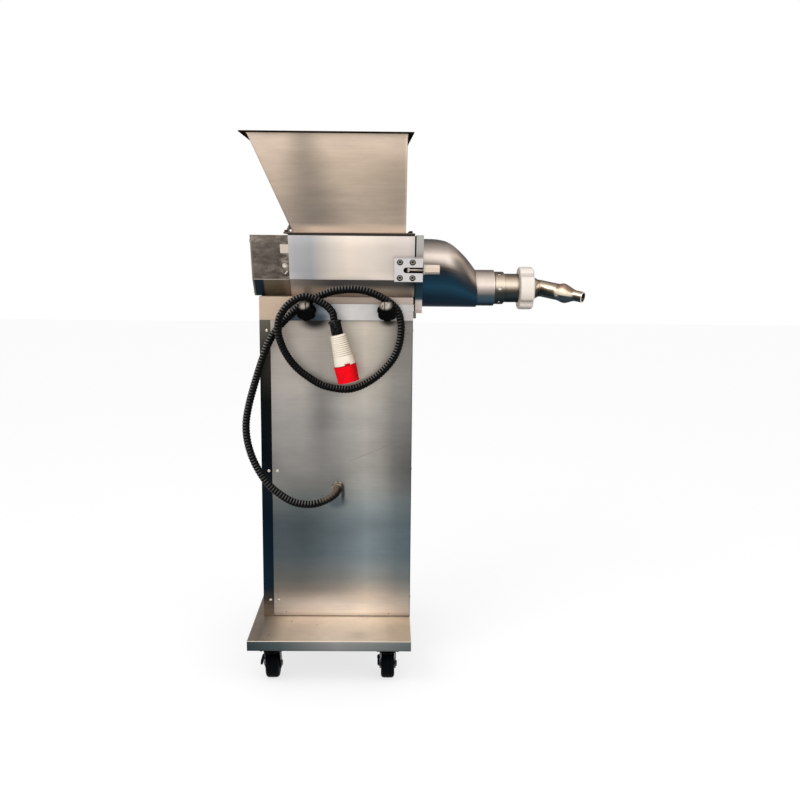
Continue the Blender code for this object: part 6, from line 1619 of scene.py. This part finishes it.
def make_trough():
    carried_over(
        ("auger_trough", "trough_body", NECK_STEEL, "brushed_steel", 0.0008),
        ("trough_facing", "trough_front_plate", PLATE_STEEL, "bright_steel", 0.0008),
        ("gear_housing", "drive_housing", HOUSING_STEEL, "dark_steel", 0.0009),
        ("gear_housing_lid", "drive_cover", HOUSING_STEEL, "dark_steel", 0.0006),
        ("hopper_seal", "hopper_gasket", GASKET_RUBBER, "gasket_rubber", 0.0003),
        ("head_seal", "head_gasket", GASKET_RUBBER, "gasket_rubber", 0.0003),
    )
    face = face_frame("front", 1.075)
    head = [(0, 0.004), (0.0050, 0.004), (0.0050, 0.0082), (0.0040, 0.0096), (0.0020, 0.0103), (0, 0.0104)]
    shape = Shape().turned(head, face @ along_y(0.0685, 0.0090, 0), 32)
    shape.drum(0.0068, 0.0, 0.0005, face @ along_y(0.0685, 0.0052, 0), 32)
    latch = face @ at(0.0715, 0.0030, -0.0170) @ Matrix.Rotation(math.radians(-52), 4, "Y")
    shape.block((-0.0055, -0.0012, -0.0014), (0.0055, 0.0022, 0.0014), latch)
    piece("housing_pin", shape, [BRIGHT_STEEL], "machine", edge=0.0003)
    spots = ((-0.010, 1.140), (0.250, 1.140), (0.060, 1.008), (0.180, 1.008))
    lid = [((-0.0178, y, z), (-1, 0, 0)) for y, z in spots]
    fasteners(
        "housing_screws", lid, SCREW_STEEL, "bright_steel",
        sides=6, radius=0.0050, height=0.0024, crown=0.0006, crown_radius=0.0040,
    )


FLIGHTS = auger_flight_group()


def make_auger(side, y, body, gear):
    """Core and shaft turned, flight grown along its spiral and turned over for the rear one."""
    left = 0.009 if side == "front" else 0.037
    profile = [
        (0, left), (0.0094, left), (0.010, left + 0.0006), (0.010, 0.0916), (0.0154, 0.0916),
        (0.016, 0.0922), (0.016, 0.3966), (0.0100, 0.4016), (0, 0.4016),
    ]
    core = mesh_of(Shape().turned(profile, along_x(0, y, AUGER_LEVEL)), "core", [AUGER_STEEL])
    empty = bpy.data.meshes.new("flight_line")
    flight = grown(
        FLIGHTS, empty,
        turns=5.0, pitch=0.060, core=0.0155, tip=0.0415, thickness=0.005, steps=48, paint=AUGER_STEEL,
    )
    if side == "rear":
        flight.transform(Matrix.Diagonal((1, -1, 1, 1)))
        flight.flip_normals()
    flight.transform(along_x(0.0966, y, AUGER_LEVEL))
    both = bmesh.new()
    both.from_mesh(core)
    both.from_mesh(flight)
    whole = bpy.data.meshes.new(f"auger_screw_{side}")
    both.to_mesh(whole)
    both.free()
    whole.materials.append(AUGER_STEEL)
    shown(f"auger_screw_{side}", edged(whole, 0.0004, 2), body, [f"auger_{side}"])
    piece(f"timing_gear_{side}", Shape().copy_of(gear), [DULL_STEEL], body, [gear], edge=0.0002)


def make_hidden():
    """What stands inside the cabinet keeps its CAD shape."""
    for node, look in (
        ("motor", MOTOR_PAINT), ("motor_shelf", BAND_STEEL), ("inverter_box", INVERTER_PLASTIC),
        ("drive_belt", BELT_RUBBER), ("motor_pulley", DULL_STEEL), ("driven_pulley", DULL_STEEL),
    ):
        for slot in NODES[node].material_slots:
            slot.material = look


make_trough()
make_auger("front", 0.078, "auger_drive", "gear_front")
make_auger("rear", 0.162, "auger_follower", "gear_rear")
make_hidden()


# Hopper

HOPPER_FOOT = 1.1576
HOPPER_HEIGHT = 0.2524
HOPPER_MOUTH = 1.4096
SHEET = 0.0025
RIM_LEVEL = 1.407


def hopper_ring(level, inset, radius):
    """The hopper's outline at a level. It widens upwards, most of all to the left."""
    share = (level - HOPPER_FOOT) / HOPPER_HEIGHT
    left = 0.0905 - 0.1165 * share + inset
    right = 0.3795 + 0.0025 * share - inset
    half = 0.1245 + 0.0095 * share - inset
    return raised(rectangle(left, right, MIDDLE - half, MIDDLE + half, radius), level)


def make_rim():
    """A flat rim that narrows on its right side towards the back, with painted shade underneath."""
    narrowing = 0.012
    outer = []
    for x, y in rectangle(-0.042, 0.398, -0.030, 0.270, 0.003):
        outer.append((x - (x > MIDDLE) * narrowing * (y + 0.030) / 0.300, y))
    inner = rectangle(-0.0242, 0.3802, -0.0122, 0.2522, 0.0035)
    rim = Shape().prism(outer, 0.003, at(0, 0, RIM_LEVEL), hole=inner)
    for face in rim.bm.faces:
        under = face.normal.z < -0.5 or face.calc_center_median().z < RIM_LEVEL - 0.0005
        face.material_index = int(under)
    return rim, 0.0004, 1, ()


def make_gusset(y):
    """A small upright plate with a hole, welded to the flange and the left wall."""
    gusset = Shape()
    gusset.paint = 2
    section = [(0.0680, 1.1594), (0.0930, 1.1594), (0.0816, 1.1816), (0.0794, 1.1816)]
    gusset.prism(section, 0.004, along_y(0, y, 0))
    return gusset, 0.0005, 2, [Shape().drum(0.0030, 0, 0.008, along_y(0.0835, y + 0.002, 1.1662), 20)]


def make_hopper():
    walls = [hopper_ring(HOPPER_FOOT, 0, 0.006), hopper_ring(HOPPER_MOUTH, 0, 0.006)]
    walls += [hopper_ring(HOPPER_MOUTH, SHEET, 0.0035), hopper_ring(HOPPER_FOOT, SHEET, 0.0035)]
    shape = Shape().skin(walls, joined=True)
    flange = rectangle(0.068, 0.4025, -0.030, 0.270, 0.002)
    inner = rectangle(0.0930, 0.3770, -0.0020, 0.2420, 0.0035)
    shape.prism(flange, 0.0035, at(0, 0, HOPPER_FOOT), hole=inner)
    parts = [(shape, 0.0005, 2, ()), make_rim(), make_gusset(0.0075), make_gusset(0.2365)]
    mesh = made_up(parts, [HOPPER_STEEL, RIM_SHADE, GUSSET_STEEL])
    shown("feed_hopper", mesh, "machine", ["hopper"])

    seams = Shape()
    seams.bead(hopper_ring(1.1616, -0.0006, 0.0066), 0.0016)
    seams.bead(hopper_ring(1.4066, -0.0003, 0.0063), 0.0011)
    piece("hopper_welds", seams, [HOPPER_STEEL], "machine")

    bolts = [((0.3915, y, 1.1611), UP) for y in (-0.020, 0.080, 0.160, 0.260)]
    bolts += [((0.0745, y, 1.1611), UP) for y in (-0.021, 0.261)]
    fasteners(
        "hopper_bolts", bolts, DARK_SCREW, "dark_steel",
        sides=6, radius=0.0050, height=0.0046, crown=0.0012, crown_radius=0.0034,
    )


make_hopper()


# Outlet head and its clamps

DOME_CREST = (
    (0.4200, 1.1493), (0.4540, 1.1490), (0.4750, 1.1466), (0.4920, 1.1420), (0.5100, 1.1316),
    (0.5300, 1.1143), (0.5500, 1.0931), (0.5727, 1.0635),
)
DOME_BOTTOM = 0.9673


def dome_ring(x, crest, inset):
    bottom = DOME_BOTTOM + inset
    radius = (crest - inset - bottom) / 2
    return [(x, MIDDLE + across, bottom + radius + rise) for across, rise in circle(radius, 72)]


def make_outlet_head():
    """A flat end plate, the dome on it and the collar in one casting."""
    shape = Shape()
    shape.paint = 1
    half = [(-0.1538, 1.1565), (-0.117, 1.041), (-0.070, 0.9973), (-0.070, 0.963), (-0.060, 0.953)]
    section = half + [(-across, level) for across, level in reversed(half)]
    shape.prism(section, 0.019, along_x(0.4057, MIDDLE, 0))
    opening = Shape().drum(0.086, 0, 0.03, along_x(0.400, MIDDLE, 1.0583), 72)
    plate = (shape, 0.0009, 2, [opening])

    shape = Shape()
    stations = smooth_route([Vector(place) for place in DOME_CREST], 6)
    outer = [dome_ring(x, crest, 0) for x, crest in stations]
    inner = [dome_ring(x, crest, 0.005) for x, crest in reversed(stations)]
    shape.skin(outer + inner, joined=True)
    shape.bead(dome_ring(0.4250, 1.1493, 0), 0.0014)
    shape.paint = 2
    collar = [
        (0.0485, -0.003), (0.0485, 0.0), (0.0478, 0.0005), (0.0478, 0.0014), (0.0485, 0.0020),
        (0.0485, 0.0455), (0.0475, 0.0475), (0.0430, 0.0475), (0.0430, -0.003),
    ]
    shape.turned(collar, along_x(0.5727, MIDDLE, OUTLET_LEVEL), 64, bore=True)
    mesh = made_up([plate, (shape, 0, 1, ())], [DOME_STEEL, END_STEEL, COLLAR_STEEL])
    shown("outlet_casting", mesh, "machine", ["outlet_head"])


BLOCK_FRONT = -0.0163
BLOCK_BACK = -0.0003
BOLT_AXIS = (BLOCK_FRONT + BLOCK_BACK) / 2


def make_clamp_block(side, face):
    """A block with a slot for the bolt and four sunk socket screws."""
    shape = Shape().block((0.350, BLOCK_FRONT, -0.03125), (0.4235, BLOCK_BACK, 0.03125), face)
    slot = Shape()
    # The slot's walls take the painted shade.
    slot.paint = 1
    slot.prism(stadium(0.0075, 0.060, 14), 0.022, face @ along_y(0.381, BLOCK_BACK - 0.001, 0))
    cutters = [slot]
    screws = Shape()
    head, small = circle(0.0060, 24), circle(0.0053, 24)
    socket = polygon(0.0036, 6, 24)
    rings = [raised(head, 0), raised(head, 0.0032), raised(small, 0.0038)]
    rings += [raised(socket, 0.0038), raised(socket, 0.0012)]
    for x in (0.3645, 0.397):
        for z in (-0.021, 0.021):
            # Each hole's walls take the painted shade.
            hole = Shape()
            hole.paint = 1
            cutters.append(hole.drum(0.0080, 0, 0.009, face @ along_y(x, BLOCK_FRONT + 0.006, z), 36))
            seat = face @ along_y(x, BLOCK_FRONT + 0.0062, z)
            # A dark disc at each counterbore's floor and a dark core in each socket, painted shade.
            screws.paint = 1
            screws.drum(0.0079, 0, 0.0006, seat, 36)
            screws.drum(0.0026, 0.0005, 0.0032, seat, 24)
            screws.paint = 0
            screws.skin(rings, seat)
    looks, node = [CLAMP_STEEL, SOCKET_SHADE], f"slot_block_{side}"
    name = f"clamp_block_{side}"
    piece(name, shape, looks, "machine", [node], edge=0.0006, cutters=cutters)
    screws.drum(0.003, 0, 0.023, face @ at(0.384, BOLT_AXIS, -0.0115), 20)
    piece(f"clamp_block_screws_{side}", screws, [SOCKET_HEAD, SOCKET_SHADE], "machine")


def make_swing_bolt(side, face):
    """An eye round the pivot and a threaded shank."""
    pivot = face @ at(0.384, BOLT_AXIS, 0)
    eye = [(0.0033, -0.006), (0.0060, -0.006), (0.0065, -0.0054)]
    eye += [(radius, -height) for radius, height in reversed(eye)]
    shape = Shape().turned(eye, pivot, 40, bore=True)
    height, end, pitch = 0.0240, 0.0755, 0.0015
    profile = [(0, 0.0050), (0.0046, 0.0050), (0.0046, height)]
    while height < end:
        profile += [(0.0048, height + 0.0003), (0.0048, height + 0.0006), (0.0042, height + 0.0012)]
        height += pitch
    profile += [(0.0038, 0.0765), (0, 0.0765)]
    shape.turned(profile, pivot @ along_x(0, 0, 0), 28)
    name, node = f"clamp_bolt_{side}", f"swing_bolt_{side}"
    piece(name, shape, [BOLT_STEEL], f"bolt_{side}", [node])


def make_long_nut(side, face):
    """A washer and a long hexagon with rounded ends."""
    seat = face @ along_x(0.4250, BOLT_AXIS, 0)
    bore, phase = 0.0051, math.radians(15)
    washer = [(bore, 0), (0.0134, 0), (0.0140, 0.0006), (0.0140, 0.0019), (0.0134, 0.0025), (bore, 0.0025)]
    shape = Shape().turned(washer, seat, 40, bore=True)
    hexagon = polygon(0.0122, 6, 48, phase)
    small = polygon(0.0122, 6, 48, phase, most=0.0110)
    hole = circle(bore, 48, phase)
    rings = [raised(small, 0.0026), raised(hexagon, 0.0033), raised(hexagon, 0.0402), raised(small, 0.0415)]
    shape.skin([*rings, raised(hole, 0.0415), raised(hole, 0.0026)], seat, joined=True)
    piece(f"long_nut_{side}", shape, [NUT_STEEL], f"nut_{side}", [f"clamp_nut_{side}"])


def make_clamp(side):
    face = face_frame(side, 1.0725)
    make_clamp_block(side, face)
    make_swing_bolt(side, face)
    make_long_nut(side, face)


def make_ring_nut():
    """A ring with six blind holes for a hook spanner, their walls painted dark as shade and their floors
    painted bright as lit.
    """
    profile = [
        (0.0390, -0.016), (0.0427, -0.016), (0.0427, 0), (0.0432, 0), (0.0440, 0.0008), (0.0440, 0.0240),
        (0.0436, 0.0246), (0.0428, 0.0250), (0.0424, 0.0262), (0.0416, 0.0270), (0.0390, 0.0270),
    ]
    shape = Shape().turned(profile, along_x(0.6205, MIDDLE, OUTLET_LEVEL), 72, bore=True)
    floor = 0.0410
    holes = []
    for i in range(6):
        outward = along_x(0.634, MIDDLE, OUTLET_LEVEL) @ Matrix.Rotation(math.pi * i / 3, 4, "Z")
        outward = outward @ Matrix.Rotation(math.pi / 2, 4, "Y") @ at(0, 0, floor)
        hole = Shape().drum(0.0050, 0, 0.006, outward, 32)
        for face in hole.bm.faces:
            reach = max(math.hypot(corner.co.y - MIDDLE, corner.co.z - OUTLET_LEVEL) for corner in face.verts)
            # Hole walls take the painted shade and floors the painted light.
            face.material_index = 1 if reach > floor + 0.0007 else 2
        holes.append(hole)
    looks = [PIPE_STEEL, SOCKET_SHADE, HOLE_FLOOR]
    piece("holed_ring", shape, looks, "ring", ["ring_nut"], cutters=holes)


def make_delivery_pipe():
    bore, outside, left, right = 0.0342, 0.0387, 0.5989, 0.7110
    profile = [
        (bore, left), (0.0427, left), (0.0427, 0.6039), (outside, 0.6039), (outside, 0.6520),
        (0.0384, 0.6524), (0.0384, 0.6530), (outside, 0.6534), (outside, 0.7104), (0.0381, right),
        (bore, right),
    ]
    shape = Shape().turned(profile, along_x(0, MIDDLE, OUTLET_LEVEL), 72, bore=True)
    piece("delivery_pipe", shape, [PIPE_STEEL], "machine", ["outlet_pipe"])


def make_union_nut():
    """A thick nut with four broad lobes and a rounded notch between each two."""
    steps, length, fillet, reach = 144, 0.0405, 0.0065, 0.0575

    def lobed(inward):
        def radius(angle):
            off = abs(math.degrees((angle + math.pi / 4) % (math.pi / 2) - math.pi / 4))
            notch = math.exp(-((45 - off) / 9.0) ** 2)
            return reach - 0.0066 * notch - 0.0012 * (off / 45) ** 2 - inward

        return outline(radius, steps)

    turns = [math.radians(angle) for angle in range(0, 91, 18)]
    ends = [(fillet * (1 - math.sin(turn)), fillet * (1 - math.cos(turn))) for turn in turns]
    rings = [raised(lobed(inward), height) for inward, height in ends]
    rings += [raised(lobed(inward), length - height) for inward, height in reversed(ends)]
    bore = [(0.0320, length), (0.0313, length - 0.0007), (0.0313, 0.0306), (0.0390, 0.0306), (0.0390, 0.0)]
    rings += [raised(circle(radius, steps), height) for radius, height in bore]
    shape = Shape().skin(rings, along_x(0.6865, MIDDLE, OUTLET_LEVEL), joined=True)
    piece("coupling_nut", shape, [WHITE_PLASTIC], "union", ["union_nut"])


NOZZLE_WALL = 0.002
NOZZLE_LENGTH = 0.125


def nozzle_ring(centre, across, up, half_across, half_up, power=2.0):
    """A ring round a centre; below 2 its power draws it out to edges along up and across."""
    points = []
    for c, s in circle(1.0, 72):
        x = math.copysign(abs(c) ** (2 / power), c)
        y = math.copysign(abs(s) ** (2 / power), s)
        points.append(centre + across * half_across * x + up * half_up * y)
    return points


def nozzle_rings(inset):
    normal = FLOW.cross(NOZZLE_AXIS).normalized()
    first = normal.cross(FLOW)
    straight = [(0.7113, 0.0380), (0.7166, 0.0380), (0.7168, 0.0310), (0.7275, 0.0310)]
    if inset:
        straight = [(0.7113, 0.0310), (0.7275, 0.0310)]
    straight += [(0.7300, 0.0303), (0.7340, 0.0280), (0.7385, 0.0252), (0.7410, 0.0238)]
    rings = []
    for x, radius in straight:
        centre = Vector((x, MIDDLE, OUTLET_LEVEL))
        rings.append(nozzle_ring(centre, first, normal, radius - inset, radius - inset))
    bisector = (FLOW + NOZZLE_AXIS).normalized()
    mitre = normal.cross(bisector)
    pipe = 0.0222 - inset
    for shift in (-0.0012, 0.0, 0.0012):
        radius = pipe + (0.0 if shift or inset else 0.0009)
        long_radius = radius / math.cos(NOZZLE_ANGLE / 2)
        rings.append(nozzle_ring(BEND + shift * bisector, mitre, normal, long_radius, radius))
    last = normal.cross(NOZZLE_AXIS)
    for share, across, up, power in (
        (0.20, 0.0222, 0.0222, 2.0), (0.38, 0.0222, 0.0222, 2.0), (0.42, 0.0221, 0.0226, 1.90),
        (0.46, 0.0218, 0.0242, 1.65), (0.50, 0.0212, 0.0266, 1.45), (0.54, 0.0206, 0.0275, 1.36),
        (0.58, 0.0200, 0.0273, 1.34), (0.63, 0.0192, 0.0252, 1.36), (0.69, 0.0178, 0.0216, 1.46),
        (0.75, 0.0160, 0.0178, 1.65), (0.80, 0.0148, 0.0152, 1.88), (0.84, 0.0145, 0.0145, 2.0),
        (0.985, 0.0145, 0.0145, 2.0), (1.0, 0.0141, 0.0141, 2.0),
    ):
        centre = BEND + share * NOZZLE_LENGTH * NOZZLE_AXIS
        rings.append(nozzle_ring(centre, last, normal, across - inset, up - inset, power))
    return rings


def make_nozzle():
    shape = Shape().skin(nozzle_rings(0) + nozzle_rings(NOZZLE_WALL)[::-1], joined=True)
    piece("bent_nozzle", shape, [NOZZLE_STEEL], "spout", ["nozzle"])


make_outlet_head()
for end in ("front", "rear"):
    make_clamp(end)
make_ring_nut()
make_delivery_pipe()
make_union_nut()
make_nozzle()
